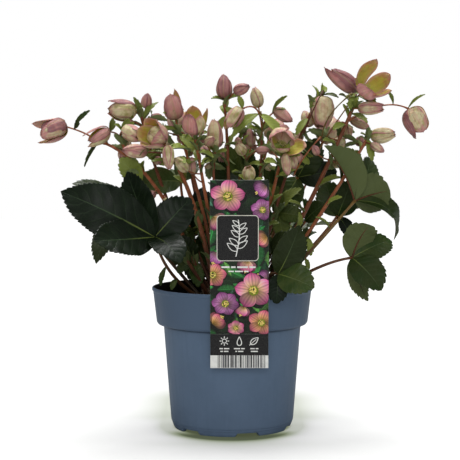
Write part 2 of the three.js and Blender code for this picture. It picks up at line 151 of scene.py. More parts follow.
# %% The mesh gatherer
class Skin:
    MARKS = ("side", "tone", "blush")

    def __init__(self):
        self.points = []
        self.faces = []
        self.places = []
        self.marks = {mark: [] for mark in self.MARKS}
        self.slots = []
        self.count = 0

    def add(self, points, faces, places, slot=0, **marks):
        points = np.asarray(points, float).reshape(-1, 3)
        self.points.append(points)
        self.places.append(np.asarray(places, float).reshape(-1, 2))
        for mark in self.MARKS:
            self.marks[mark].append(np.broadcast_to(np.asarray(marks.get(mark, 0.0), float), (len(points),)))
        self.faces.extend([[corner + self.count for corner in face] for face in faces])
        self.slots.extend([slot] * len(faces))
        self.count += len(points)

    def make(self, name, materials, sharp_angle=None):
        mesh = bpy.data.meshes.new(name)
        points = np.concatenate(self.points)
        mesh.from_pydata(points.tolist(), [], self.faces)
        for material in materials:
            mesh.materials.append(material)
        mesh.polygons.foreach_set("material_index", self.slots)
        mesh.polygons.foreach_set("use_smooth", [True] * len(self.faces))
        corners = np.empty(len(mesh.loops), int)
        mesh.loops.foreach_get("vertex_index", corners)
        layer = mesh.uv_layers.new(name="shape")
        layer.data.foreach_set("uv", np.concatenate(self.places)[corners].ravel())
        for mark in self.MARKS:
            attribute = mesh.attributes.new(mark, "FLOAT", "POINT")
            attribute.data.foreach_set("value", np.concatenate(self.marks[mark]))
        mesh.update()
        if sharp_angle is not None:
            mesh.set_sharp_from_angle(angle=math.radians(sharp_angle))
        return show(name, mesh)


def settle(piece, slot, *nodes):
    """Every piece rides on the one body and may stand for CAD nodes. The slot is not used."""
    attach(piece, "root")
    if nodes:
        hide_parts(*nodes)
    return piece


# %% Sheets and tubes
def add_sheet(skin, middle, thickness, places, slot=0, tone=0.0, blush=0.0):
    """A bent sheet with real thickness about a grid of points, rows by columns."""
    rows, columns = middle.shape[:2]
    along = np.gradient(middle, axis=0)
    across = np.gradient(middle, axis=1)
    normal = units(np.cross(across, along))
    half = np.broadcast_to(np.asarray(thickness, float), (rows, columns))[..., None] / 2
    size = rows * columns
    index = np.arange(size).reshape(rows, columns)
    faces = []
    for r in range(rows - 1):
        for c in range(columns - 1):
            quad = [int(index[r + i, c + j]) for i, j in ((0, 0), (0, 1), (1, 1), (1, 0))]
            faces.append(quad)
            faces.append([corner + size for corner in reversed(quad)])
    edge = [*index[0, :], *index[1:, -1], *index[-1, -2::-1], *index[-2:0:-1, 0]]
    for a, b in zip(edge, edge[1:] + edge[:1]):
        faces.append([int(b), int(a), int(a) + size, int(b) + size])
    points = [(middle + push).reshape(-1, 3) for push in (normal * half, -normal * half)]
    side = np.repeat([0.0, 1.0], size)
    places = np.concatenate([places.reshape(-1, 2)] * 2)
    skin.add(np.concatenate(points), faces, places, slot, side=side, tone=tone, blush=blush)


def add_tube(skin, spine, radii, sides, slot=0, tone=0.0):
    """A round tube along a row of points, with a radius for each, closed at both ends."""
    spine = np.asarray(spine, float)
    count = len(spine)
    radii = np.broadcast_to(np.asarray(radii, float), (count,))
    forward = units(np.gradient(spine, axis=0))
    guide = np.array([0.0, 0.0, 1.0]) if abs(forward[0][2]) < 0.9 else np.array([1.0, 0.0, 0.0])
    out = unit(guide - forward[0] * guide.dot(forward[0]))
    angles = np.linspace(0, 2 * math.pi, sides, endpoint=False)
    points = []
    for place, ahead, radius in zip(spine, forward, radii):
        out = unit(out - ahead * out.dot(ahead))
        beside = np.cross(ahead, out)
        ring = np.cos(angles)[:, None] * out + np.sin(angles)[:, None] * beside
        points.append(place + ring * radius)
    faces = []
    for r in range(count - 1):
        for i in range(sides):
            j = (i + 1) % sides
            low, high = r * sides, (r + 1) * sides
            faces.append([low + i, low + j, high + j, high + i])
    faces.append(list(range(sides - 1, -1, -1)))
    faces.append(list(range((count - 1) * sides, count * sides)))
    around = np.tile(np.linspace(0, 1, sides), (count, 1))
    up = np.repeat(np.linspace(0, 1, count)[:, None], sides, axis=1)
    skin.add(np.array(points), faces, np.stack([around, up], axis=-1), slot, tone=tone)


print("skins, sheets and tubes are ready")

# %% [markdown]
# ## Finishes made from nodes
# Every finish is a small network of shader nodes. What a node gives out is held as a `Value`, and each
# plain sign between values, such as `+` or `*`, adds one math node, so that a network reads like a sum.
# Effects that several finishes share, such as cloudy colour or leaf veins, are node groups with named
# inputs and outputs, built once and used with different values.

# %% Values that become nodes
class Value:
    """One output of a node. Arithmetic on it adds math nodes to the same tree."""

    def __init__(self, socket):
        self.socket = socket
        self.tree = socket.id_data

    def __add__(self, other):
        return reckon("ADD", self, other)

    def __sub__(self, other):
        return reckon("SUBTRACT", self, other)

    def __rsub__(self, other):
        return reckon("SUBTRACT", other, self)

    def __mul__(self, other):
        return reckon("MULTIPLY", self, other)

    def __truediv__(self, other):
        return reckon("DIVIDE", self, other)

    def __rtruediv__(self, other):
        return reckon("DIVIDE", other, self)

    def __pow__(self, other):
        return reckon("POWER", self, other)

    def __gt__(self, other):
        return reckon("GREATER_THAN", self, other)

    def __abs__(self):
        return reckon("ABSOLUTE", self)


def put(socket, value):
    """Join an input to a node's output, or give it a plain value."""
    if isinstance(value, Value):
        value.tree.links.new(value.socket, socket)
    else:
        socket.default_value = value


def node(tree, kind, inputs=None, output=0, **settings):
    """A new node with these inputs and settings. It returns the value that the node gives out."""
    made = tree.nodes.new("ShaderNode" + kind)
    for name, value in settings.items():
        setattr(made, name, value)
    for name, value in (inputs or {}).items():
        put(made.inputs[name], value)
    return Value(made.outputs[output])


def reckon(operation, *values):
    """One arithmetic step on numbers that change over the surface."""
    tree = next(value.tree for value in values if isinstance(value, Value))
    return node(tree, "Math", dict(enumerate(values)), operation=operation)


print("values can be reckoned with")

# %% Node helpers
def ease(value, low, high, start=0.0, end=1.0):
    """A soft step: start below low, end above high."""
    given = dict(enumerate((value, low, high, start, end)))
    return node(value.tree, "MapRange", given, interpolation_type="SMOOTHSTEP")


def mix(share, low, high):
    """A colour between two colours, or over one with a mask as the share."""
    return node(share.tree, "Mix", {0: share, 6: low, 7: high}, 2, data_type="RGBA")


def mark(tree, name, output="Fac"):
    """What the mesh carries for each point under this name."""
    return node(tree, "Attribute", None, output, attribute_name=name)


def split(vector):
    """The three parts of a place or a direction."""
    made = vector.tree.nodes.new("ShaderNodeSeparateXYZ")
    put(made.inputs[0], vector)
    return [Value(output) for output in made.outputs]


def object_place(tree):
    return node(tree, "TexCoord", None, "Object")


def shape_place(tree):
    """The UV place on a leaf, tepal or stem: across it, along it and nothing."""
    return split(node(tree, "UVMap", uv_map="shape"))


def cloud(tree, size_mm, detail=3.0, seed=0.0):
    """Soft random blotches of about this size, from 0 to 1, fixed to the object."""
    given = {"Vector": object_place(tree), "Scale": 1000.0 / size_mm, "Detail": detail, "W": seed}
    return node(tree, "TexNoise", given, "Fac", noise_dimensions="4D")


def drawn_out(where, scale, detail, stretch, turn=(0.0, 0.0, 0.0)):
    """Noise that is pulled long one way, for flow lines, hair scratches and fibres."""
    mapped = node(where.tree, "Mapping", {"Vector": where, "Rotation": turn, "Scale": stretch})
    return node(where.tree, "TexNoise", {"Vector": mapped, "Scale": scale, "Detail": detail}, "Fac")


def bump(shader, height, depth_mm, strength=1.0):
    """Small relief: height runs from 0 to 1, and depth_mm says what 1 is worth."""
    given = {"Height": height, "Distance": depth_mm * MM, "Strength": strength}
    put(shader.inputs["Normal"], node(height.tree, "Bump", given))


def new_group(name, inputs, outputs):
    """An empty node group with these named sockets."""
    tree = bpy.data.node_groups.new(name, "ShaderNodeTree")
    for title, kind, value in inputs:
        socket = tree.interface.new_socket(name=title, in_out="INPUT", socket_type="NodeSocket" + kind)
        socket.default_value = value
    for title, kind in outputs:
        tree.interface.new_socket(name=title, in_out="OUTPUT", socket_type="NodeSocket" + kind)
    start = tree.nodes.new("NodeGroupInput")
    end = tree.nodes.new("NodeGroupOutput")
    return tree, {title: Value(start.outputs[title]) for title, *_ in inputs}, end.inputs


def use(tree, group, inputs):
    """A node group at work in a finish. It returns its outputs by name."""
    made = tree.nodes.new("ShaderNodeGroup")
    made.node_tree = group
    for name, value in inputs.items():
        put(made.inputs[name], value)
    return {output.name: Value(output) for output in made.outputs}


def new_finish(name):
    material = bpy.data.materials.new(name)
    material.use_nodes = True
    tree = material.node_tree
    return material, tree, tree.nodes["Principled BSDF"]


print("node helpers are ready")

# %% [markdown]
# ### Clouded colour
# Nothing that grows, and nothing moulded from recycled plastic, has one even colour. This group turns
# one colour into another in soft blotches, with a finer layer of specks on top.

# %% Group: clouded colour
CLOUDED, take, give = new_group(
    "clouded colour",
    [("Size", "Float", 10.0), ("Amount", "Float", 0.5), ("Colour", "Color", (0.5, 0.5, 0.5, 1)),
     ("Other", "Color", (0.4, 0.4, 0.4, 1)), ("Seed", "Float", 0.0)],
    [("Colour", "Color"), ("Mask", "Float")],
)
broad = cloud(CLOUDED, take["Size"], 2.0, take["Seed"])
specks = cloud(CLOUDED, take["Size"] * 0.13, 2.0, take["Seed"])
mask = ease(broad * 0.75 + specks * 0.25, 0.36, 0.64)
put(give["Mask"], mask)
put(give["Colour"], mix(mask * take["Amount"], take["Colour"], take["Other"]))
print("group:", CLOUDED.name)

# %% [markdown]
# ### Leaf veins
# A midrib runs up the middle of each leaflet, and side veins leave it at a slant and bend towards the
# tip. The group reads the UV place on the leaflet, so every copy gets its own veins at the right
# scale. The fine net between them comes from the edges of Voronoi cells.

# %% Group: leaf veins
VEIN_BEND = 1.25
VEIN_OFFSET = 0.45

VEINS, take, give = new_group(
    "leaf veins",
    [("Count", "Float", 9.0), ("Slant", "Float", 0.22), ("Rib width", "Float", 0.07),
     ("Net size", "Float", 2.4)],
    [("Midrib", "Float"), ("Laterals", "Float"), ("Net", "Float"), ("Height", "Float")],
)
x, y, _ = shape_place(VEINS)
wobble = (cloud(VEINS, 9, 1.0) - 0.5) * 0.05
across = abs(x - 0.5) * 2.0
rib_edge = take["Rib width"] * (1.15 - y)
midrib = ease(across, rib_edge * 0.45, rib_edge, 1.0, 0.0)
lean = across ** VEIN_BEND * take["Slant"]
other_half = (x > 0.5) * VEIN_OFFSET
off_vein = reckon("PINGPONG", (y + wobble - lean) * take["Count"] + other_half, 0.5)
laterals = ease(off_vein, 0.02, 0.09, 1.0, 0.0) * ease(across, 0.55, 1.0, 1.0, 0.15)
cells = node(VEINS, "TexVoronoi", {"Vector": object_place(VEINS), "Scale": 1000.0 / take["Net size"]},
             "Distance", feature="DISTANCE_TO_EDGE")
net = ease(cells, 0.0, 0.16, 1.0, 0.0)
put(give["Midrib"], midrib)
put(give["Laterals"], laterals)
put(give["Net"], net)
sunk = reckon("MAXIMUM", midrib, laterals * 0.7)
put(give["Height"], ease(off_vein, 0.0, 0.5) - net * 0.04 - sunk)
print("group:", VEINS.name)

# %% [markdown]
# ### Streaks along a petal or a stalk
# Tepals and stalks are streaked lengthwise. Noise that is stretched far along the piece and squeezed
# across it does that, again in the UV places of each copy.

# %% Group: streaks
STREAKS, take, give = new_group(
    "streaks",
    [("Across", "Float", 14.0), ("Along", "Float", 1.5), ("Seed", "Float", 0.0)],
    [("Mask", "Float")],
)
x, y, _ = shape_place(STREAKS)
spot = node(STREAKS, "CombineXYZ", {"X": x * take["Across"], "Y": y * take["Along"], "Z": take["Seed"]})
lines = node(STREAKS, "TexNoise", {"Vector": spot, "Scale": 1.0, "Detail": 2.0}, "Fac")
put(give["Mask"], ease(lines, 0.38, 0.62))
print("group:", STREAKS.name)

# %% [markdown]
# ## The leaf finishes
# The upper face is a very dark green with a leathery gloss, paler along the veins. The underside is a
# dull olive with a raised midrib. One material serves both faces: the `side` mark picks the colours.
# `tone` runs from 0, an old dark leaf, through the mid green of a full-grown one at about 0.15, to 1, a
# young leaf or bract in fresh green.

# %% Leaf
LEAF_OLD = paint(8, 18, 7)
LEAF_OLD_BLOTCH = paint(16, 29, 13)
LEAF_FULL = paint(34, 62, 26)
LEAF_YOUNG = paint(134, 146, 62)
LEAF_YOUNG_BLOTCH = paint(146, 158, 78)
VEIN_OLD = paint(54, 72, 46)
VEIN_HUB = paint(116, 128, 60)
VEIN_YOUNG = paint(150, 160, 98)
UNDER_OLD = paint(76, 84, 48)
UNDER_YOUNG = paint(134, 148, 96)
UNDER_VEIN = paint(88, 98, 62)
VEIN_COUNT = 8.0
VEIN_SLANT = 0.2

leaf_finish, tree, shader = new_finish("leathery_leaf")
tone = mark(tree, "tone")
side = mark(tree, "side")
veins = use(tree, VEINS, {"Count": VEIN_COUNT, "Slant": VEIN_SLANT, "Rib width": 0.056})
full = ease(tone, 0.03, 0.13, 0.0, 0.65) * ease(tone, 0.22, 0.45, 1.0, 0.0)
body = mix(full, mix(tone, LEAF_OLD, LEAF_YOUNG), LEAF_FULL)
blotch = mix(tone, LEAF_OLD_BLOTCH, LEAF_YOUNG_BLOTCH)
clouds = use(tree, CLOUDED, {"Size": 16.0, "Amount": 0.8, "Colour": body, "Other": blotch})
vein_colour = mix(tone, VEIN_OLD, VEIN_YOUNG)
thin_veins = veins["Laterals"] * 0.13 + veins["Net"] * 0.09
upper = mix(thin_veins, clouds["Colour"], vein_colour)
along = shape_place(tree)[1]
rib_colour = mix(ease(along, 0.0, 0.55, 1.0, 0.0), vein_colour, VEIN_HUB)
upper = mix(veins["Midrib"] * 0.8, upper, rib_colour)
under_body = mix(tone, UNDER_OLD, UNDER_YOUNG)
under = use(tree, CLOUDED, {
    "Size": 12.0, "Amount": 0.5, "Colour": under_body, "Other": UNDER_VEIN, "Seed": 3.0})
under = mix(thin_veins * 0.8, under["Colour"], UNDER_VEIN)
put(shader.inputs["Base Color"], mix(side, upper, under))
put(shader.inputs["Roughness"], clouds["Mask"] * 0.1 + 0.33 + side * 0.2)
shader.inputs["Specular IOR Level"].default_value = 0.14
bump(shader, veins["Height"], 0.3, 0.4)
print("finish:", leaf_finish.name)

# %% [markdown]
# The midribs under a leaf, the stalks and the flower stems share one waxy skin. `tone` picks the hue:
# 0 is a deep red-brown, 0.5 salmon and 1 olive. Streaks and a paler bloom break it up. Near the
# compost every stem is painted dark: painted shade of the dense middle of the plant.

# %% Stem skin
STEM_DEEP = paint(62, 28, 14)
STEM_SALMON = paint(168, 96, 60)
STEM_OLIVE = paint(106, 98, 46)
STEM_BLOOM = paint(152, 90, 52)
STEM_LOW_SHADE = paint(34, 19, 11)
LOW_SHADE_LEVEL = (0.165, 0.275)

stem_finish, tree, shader = new_finish("waxy_stem")
tone = mark(tree, "tone")
streaks = use(tree, STREAKS, {"Across": 9.0, "Along": 3.0})
reddish = mix(ease(tone, 0.0, 0.5), STEM_DEEP, STEM_SALMON)
hue = mix(ease(tone, 0.5, 1.0), reddish, STEM_OLIVE)
worn = mix(streaks["Mask"] * 0.24, hue, STEM_BLOOM)
spotted = use(tree, CLOUDED, {"Size": 7.0, "Amount": 0.4, "Colour": worn, "Other": STEM_DEEP})
# Painted shade: the stems are darkened towards the compost, where the middle of the plant lies in shade.
level = split(object_place(tree))[2]
low_shaded = ease(level, *LOW_SHADE_LEVEL, 0.85, 0.0)
put(shader.inputs["Base Color"], mix(low_shaded, spotted["Colour"], STEM_LOW_SHADE))
put(shader.inputs["Roughness"], ease(spotted["Mask"], 0.0, 1.0, 0.4, 0.56))
shader.inputs["Specular IOR Level"].default_value = 0.3
bump(shader, streaks["Mask"], 0.12)
print("finish:", stem_finish.name)

# %% [markdown]
# ## The tepals
# Hellebore "petals" are tepals: cream-green to dusty mauve outside with a darker base and pink edges,
# yellow-green inside with a rosy margin. `blush` says how far a flower has coloured. The margin mask
# comes from the UV place: it is strong near either edge and at the tip.

# %% Tepal
CREAM = paint(222, 208, 164)
GREENISH = paint(160, 158, 84)
ROSE = paint(206, 148, 142)
MAUVE = paint(154, 106, 108)
BASE_BROWN_AND_SHADE = paint(92, 56, 40)
MARGIN = paint(150, 84, 84)
INSIDE_MARGIN = paint(206, 142, 132)
PALE_RIB = paint(166, 154, 98)
INSIDE = paint(190, 182, 76)
INSIDE_BASE = paint(136, 132, 26)
INSIDE_PALE = paint(222, 188, 164)
INSIDE_SALMON = paint(190, 124, 92)

tepal_finish, tree, shader = new_finish("waxy_tepal")
tone = mark(tree, "tone")
side = mark(tree, "side")
blush = mark(tree, "blush")
x, y, _ = shape_place(tree)
off_middle = abs(x - 0.5) * 2.0
rib = ease(off_middle, 0.02, 0.16, 1.0, 0.0)
base = ease(y, 0.0, 0.3, 1.0, 0.0)
rim = reckon("MAXIMUM", ease(off_middle, 0.5, 0.96), ease(y, 0.74, 0.98))
streaks = use(tree, STREAKS, {"Across": 18.0, "Along": 1.1, "Seed": tone * 40.0})
fine = use(tree, STREAKS, {"Across": 44.0, "Along": 2.2, "Seed": tone * 70.0})
patch = cloud(tree, 8.0, 2.0)
print("tepal masks are ready")

# %% [markdown]
# Outside, patches, streaks and the rim push the colour from cream through rose to mauve, and the base
# is browned: partly the tepal's own colour, partly painted shade deep in the cup. Inside, a blushing
# flower goes from yellow-green to salmon. The hem is a thin line of its own colour all around.

# %% Tepal colours
warmth = blush + (patch - 0.5) * 0.8 + (streaks["Mask"] - 0.5) * 0.2 + rim * 0.34
pale = mix(ease(patch + base * 0.25, 0.4, 0.72), CREAM, GREENISH)
rosy = mix(ease(warmth, 0.34, 0.74), pale, ROSE)
outside = mix(ease(warmth, 0.76, 1.22), rosy, MAUVE)
# The browned base is partly the tepal's own colour and partly painted shade deep in the cup.
browned_and_shaded = ease(y, 0.0, 0.55, 1.0, 0.0) * ease(blush, 0.25, 1.0, 0.25, 0.8)
outside = mix(browned_and_shaded, outside, BASE_BROWN_AND_SHADE)
outside = mix(rib * 0.34, outside, mix(ease(blush, 0.3, 0.7), ROSE, PALE_RIB))
outside = mix(fine["Mask"] * 0.16, outside, MARGIN)
salmon = ease(patch, 0.42, 0.62) * ease(y, 0.35, 0.9) * (blush * 0.8 + 0.1)
inner = mix(salmon, mix(base, INSIDE, INSIDE_BASE), INSIDE_SALMON)
inner = mix(ease(tone, 0.25, 1.0), inner, INSIDE_PALE)
inner = mix(fine["Mask"] * 0.22, inner, INSIDE_BASE)
inner = mix(rim * 0.55, inner, ROSE)
hem = reckon("MAXIMUM", ease(off_middle, 0.82, 1.0), ease(y, 0.94, 1.0))
hem_colour = mix(side, MARGIN, INSIDE_MARGIN)
put(shader.inputs["Base Color"], mix(hem * 0.5, mix(side, outside, inner), hem_colour))
put(shader.inputs["Roughness"], ease(patch, 0.3, 0.7, 0.5, 0.62))
shader.inputs["Specular IOR Level"].default_value = 0.35
shader.inputs["Subsurface Weight"].default_value = 0.1
shader.inputs["Subsurface Scale"].default_value = 0.002
bump(shader, streaks["Mask"] + fine["Mask"], 0.16)
print("finish:", tepal_finish.name)

# %% [markdown]
# The heart of an open flower has a ring of small green nectaries, a brush of cream stamens and a few
# slim carpels. One finish does for all three, and `tone` goes from green to cream.

# %% Flower heart
heart_finish, tree, shader = new_finish("flower_heart")
powder = use(tree, CLOUDED, {
    "Size": 1.6, "Amount": 0.6,
    "Colour": mix(mark(tree, "tone"), paint(128, 142, 48), paint(226, 214, 160)),
    "Other": paint(168, 148, 74),
})
put(shader.inputs["Base Color"], powder["Colour"])
put(shader.inputs["Roughness"], ease(powder["Mask"], 0.0, 1.0, 0.55, 0.75))
bump(shader, powder["Mask"], 0.1)
print("finish:", heart_finish.name)

# %% [markdown]
# ## The pot
# A nursery pot is one thin injection moulding: a tapered wall, a deep rim band that stacks on the next
# pot, a foot ring with notches that let water run out, and drain holes in the floor. It could be a
# revolve with a Screw modifier, but the notches differ with the angle. So the outline's points are
# turned in code, and the foot is lifted where a notch is.

# %% Pot outline
POT_OUTLINE = [
    (0, 4), (64, 4), (65, 0), (69, 0), (70.5, 3), (71.2, 5.6), (71.7, 6.0), (72.3, 8.6), (72.8, 9.0),
    (73.2, 12), (81.8, 123), (88.5, 124.5), (90, 127),
    (94.2, 163), (95.5, 164.6), (95.5, 167), (95, 168), (92.5, 168), (88, 127), (80, 122), (71, 12),
    (66, 6), (0, 6),
]
POT_TURNS = 288
NOTCH_COUNT = 6
NOTCH_FIRST = 15
NOTCH_WIDTH = 28
NOTCH_HEIGHT = 4.5
FOOT_RADIUS = 69
FOOT_INNER = 63
RIM_HEIGHT = 168
ARC_STEPS = 4


def soften(outline, radius):
    """Round every corner of an outline of (radius, height) points with a small arc."""
    points = [np.array(corner, float) for corner in outline]
    soft = [points[0]]
    for before, corner, after in zip(points, points[1:], points[2:]):
        reach_in = min(radius, 0.45 * np.linalg.norm(corner - before))
        reach_out = min(radius, 0.45 * np.linalg.norm(after - corner))
        first = corner + unit(before - corner) * reach_in
        last = corner + unit(after - corner) * reach_out
        for t in np.linspace(0, 1, ARC_STEPS):
            soft.append((1 - t) ** 2 * first + 2 * t * (1 - t) * corner + t ** 2 * last)
    return np.array(soft + [points[-1]])


def fill_in(outline, longest):
    """Add points so that no step of an outline is longer than this."""
    filled = [outline[0]]
    for start, end in zip(outline, outline[1:]):
        steps = max(1, math.ceil(np.linalg.norm(end - start) / longest))
        filled.extend(start + (end - start) * (i + 1) / steps for i in range(steps))
    return np.array(filled)


outline = fill_in(soften(POT_OUTLINE, 0.7), 9.0)
print("pot outline:", len(outline), "points")

# %% [markdown]
# The plastic is a slate blue that was mixed from regrind, so it is slightly clouded. It has a fine
# moulded grain, faint upright flow lines and a few scuffs from handling. The rim band is painted a
# little darker as shade from the leaves above, with a painted shadow line under its step, and the
# inner wall is painted near black as the shade inside the pot. Levels are in metres, as the shader
# reads them.

# %% Pot plastic
POT_BLUE = paint(98, 117, 141)
POT_SHADE = paint(88, 106, 128)
# Painted shade: the rim band, the dark line under its step and the inner wall.
POT_BAND_SHADE = paint(80, 96, 117)
POT_STEP_SHADOW = paint(48, 58, 72)
POT_SCUFF = paint(112, 127, 144)
POT_INNER_SHADE = paint(20, 17, 15)
BAND_LEVEL = (0.1195, 0.1235)
STEP_SHADOW_LEVEL = 0.1225
STEP_SHADOW_REACH = 0.0016

pot_finish, tree, shader = new_finish("slate_pot_plastic")
clouds = use(tree, CLOUDED, {"Size": 60.0, "Amount": 0.5, "Colour": POT_BLUE, "Other": POT_SHADE})
where = object_place(tree)
flow = drawn_out(where, 160.0, 2.0, (1.0, 1.0, 0.06))
flowed = mix(ease(flow, 0.45, 0.75, 0.0, 0.22), clouds["Colour"], POT_SHADE)
hair = drawn_out(where, 900.0, 3.0, (1.0, 0.1, 1.0), (0.5, 0.3, 0.4))
scuffs = ease(hair, 0.62, 0.72) * ease(cloud(tree, 34.0, 3.0, 5.0), 0.56, 0.7)
scuffed = mix(scuffs * 0.5, flowed, POT_SCUFF)
level = split(where)[2]
# Painted shade on the band, a painted shadow line under its step, and painted shade inside where tone is 1.
band_shaded = mix(ease(level, *BAND_LEVEL, 0.0, 0.75), scuffed, POT_BAND_SHADE)
step_shadowed = mix(ease(abs(level - STEP_SHADOW_LEVEL), 0.0, STEP_SHADOW_REACH, 0.7, 0.0), band_shaded, POT_STEP_SHADOW)
put(shader.inputs["Base Color"], mix(mark(tree, "tone"), step_shadowed, POT_INNER_SHADE))
put(shader.inputs["Roughness"], ease(flow, 0.3, 0.7, 0.44, 0.54) + scuffs * 0.2)
shader.inputs["Specular IOR Level"].default_value = 0.1
bump(shader, cloud(tree, 0.9, 2.0), 0.06)
print("finish:", pot_finish.name)

# %% Turn the pot
def notch_share(angle):
    """1 in the middle of a notch of the foot ring, 0 between notches. The angle is in degrees."""
    pitch = 360 / NOTCH_COUNT
    off = abs((angle - NOTCH_FIRST + pitch / 2) % pitch - pitch / 2)
    half = math.degrees(NOTCH_WIDTH / 2 / FOOT_RADIUS)
    return float(smooth(half - off, -0.4, 1.6))


def turn_outline(skin, outline, turns, lift, tones=0.0):
    """Turn (radius, height) points about Z. Both ends of the outline lie on the axis."""
    ring = outline[1:-1]
    points = []
    for angle in np.arange(turns) * 360 / turns:
        for radius, height in ring:
            points.append((*around_pot(radius, angle), lift(angle, radius, height)))
    count = len(ring)
    first, last = turns * count, turns * count + 1
    points += [(0, 0, outline[0][1]), (0, 0, outline[-1][1])]
    faces = []
    for turn in range(turns):
        here, there = turn * count, (turn + 1) % turns * count
        for i in range(count - 1):
            faces.append([here + i, there + i, there + i + 1, here + i + 1])
        faces.append([first, there, here])
        faces.append([here + count - 1, there + count - 1, last])
    places = [(i // count / turns, i % count / count) for i in range(turns * count)] + [(0, 0), (0, 1)]
    tones = np.append(np.tile(tones[1:-1], turns), [0, 0]) if np.ndim(tones) else tones
    skin.add(np.array(points) * MM, faces, places, tone=tones)


def lift_foot(angle, radius, height):
    if radius < FOOT_INNER or height > NOTCH_HEIGHT + 1:
        return height
    return max(height, NOTCH_HEIGHT * notch_share(angle))


pot_skin = Skin()
top = int(outline[:, 1].argmax())
# The inner wall's points get tone 1, which the pot finish paints as shade.
inner = (np.arange(len(outline)) > top).astype(float)
turn_outline(pot_skin, outline, POT_TURNS, lift_foot, inner)
pot = settle(pot_skin.make("pot_moulding", [pot_finish], sharp_angle=50), "pot_plastic", "pot")
print("pot:", len(pot.data.polygons), "faces")

# %% [markdown]
# The drain holes are cut with a Boolean modifier, which is then applied, so that the mesh holds them.

# %% Drain holes
HOLE_RADIUS = 2
HOLE_CIRCLE = 56
DRILL_LEVELS = (1, 5, 9)


def apply_modifiers(piece):
    """Swap a piece's mesh for what its modifiers make of it."""
    shape = piece.evaluated_get(bpy.context.evaluated_depsgraph_get())
    mesh = bpy.data.meshes.new_from_object(shape)
    piece.modifiers.clear()
    piece.data = mesh


drill_skin = Skin()
for number in range(NOTCH_COUNT):
    x, y = around_pot(HOLE_CIRCLE, NOTCH_FIRST + number * 360 / NOTCH_COUNT)
    add_tube(drill_skin, metres([(x, y, level) for level in DRILL_LEVELS]), HOLE_RADIUS * MM, sides=24)
drill = drill_skin.make("drill", [pot_finish])
cut = pot.modifiers.new("drain holes", "BOOLEAN")
cut.operation = "DIFFERENCE"
cut.solver = "EXACT"
cut.object = drill
apply_modifiers(pot)
bpy.data.objects.remove(drill)
print("pot with drain holes:", len(pot.data.polygons), "faces")

# %% [markdown]
# ## Compost
# The pot holds dark, moist peat: a lumpy bed with crumbs, fibres and a few pale grains. The bed is
# turned like the pot, then its top is pushed up and down with smooth noise. The crumbs are small
# irregular lumps that sit half sunk in it.

# %% Compost finish
PEAT = paint(40, 29, 22)
PEAT_DRY = paint(74, 56, 42)
PEAT_FIBRE = paint(96, 72, 50)

compost_finish, tree, shader = new_finish("moist_compost")
coarse = use(tree, CLOUDED, {"Size": 5.0, "Amount": 0.9, "Colour": PEAT, "Other": PEAT_DRY})
where = object_place(tree)
crumbs = node(tree, "TexVoronoi", {"Vector": where, "Scale": 420.0}, "Distance")
fibres = drawn_out(where, 700.0, 2.0, (1.0, 0.15, 1.0), (0.0, 0.0, 0.7))
put(shader.inputs["Base Color"], mix(ease(fibres, 0.64, 0.7), coarse["Colour"], PEAT_FIBRE))
put(shader.inputs["Roughness"], ease(coarse["Mask"], 0.0, 1.0, 0.7, 0.95))
bump(shader, coarse["Mask"] - crumbs, 1.2)
print("finish:", compost_finish.name)

# %% Compost bed and crumbs
SOIL_OUTLINE = [
    (0, 6.4), (65.5, 6.4), (70.5, 12), (79.5, 122.3), (87.5, 127.3), (89.6, 147.5), (88.4, 149),
    (50, 150.4), (0, 151),
]
SOIL_TOP = 150
SOIL_SHOULDER = 140
RIPPLE_TURNS = ((0.4, 1.0), (1.7, 0.8), (2.9, 0.7), (4.4, 0.6))


def ripple(x, y, size, seed):
    """Smooth made-up relief from -1 to 1: a few waves that cross each other."""
    total = 0.0
    for turn, share in RIPPLE_TURNS:
        angle = turn + seed
        along = x * math.cos(angle) + y * math.sin(angle)
        total += share * math.sin(along / size * 6.28 + seed * 7 + turn)
        size *= 0.71
    return total / sum(share for _, share in RIPPLE_TURNS)


def roughen_bed(angle, radius, height):
    if height < SOIL_SHOULDER:
        return height
    x, y = around_pot(radius, angle)
    return height + 1.1 * ripple(x, y, 26, 1.3) + 0.7 * ripple(x, y, 9, 2.1) - 0.8


bed_skin = Skin()
turn_outline(bed_skin, fill_in(np.array(SOIL_OUTLINE, float), 3.0), 180, roughen_bed)
settle(bed_skin.make("compost_bed", [compost_finish]), "soil", "soil")


def add_lump(skin, place, size):
    """A small irregular lump: a coarse ball whose rings are pushed about."""
    rings, sides, squash = 5, 8, 0.75
    points = [place + np.array([0, 0, -size * squash])]
    for ring in range(1, rings):
        tilt = math.pi * ring / rings
        for turn in range(sides):
            around = 2 * math.pi * turn / sides
            reach = size * chance.uniform(0.75, 1.2)
            out = math.sin(tilt)
            points.append(place + reach * np.array([
                out * math.cos(around), out * math.sin(around), -math.cos(tilt) * squash]))
    points.append(place + np.array([0, 0, size * squash]))
    faces = []
    for turn in range(sides):
        after = (turn + 1) % sides
        faces.append([0, 1 + after, 1 + turn])
        for ring in range(rings - 2):
            low, high = 1 + ring * sides, 1 + (ring + 1) * sides
            faces.append([low + turn, low + after, high + after, high + turn])
        top = 1 + (rings - 2) * sides
        faces.append([top + turn, top + after, len(points) - 1])
    skin.add(np.array(points), faces, np.zeros((len(points), 2)))


CRUMB_COUNT = 420
CRUMB_CIRCLE = 87

chance = random.Random(11)
crumb_skin = Skin()
for _ in range(CRUMB_COUNT):
    radius = CRUMB_CIRCLE * math.sqrt(chance.uniform(0.28, 0.98))
    heading = chance.uniform(0, 2 * math.pi)
    size = chance.choice((0.8, 1.1, 1.5, 2.2, 2.9))
    spot = np.array([radius * math.cos(heading), radius * math.sin(heading), SOIL_TOP + 0.25 * size])
    add_lump(crumb_skin, spot * MM, size * MM)
settle(crumb_skin.make("compost_crumbs", [compost_finish]), "soil")
print("compost:", CRUMB_COUNT, "crumbs")

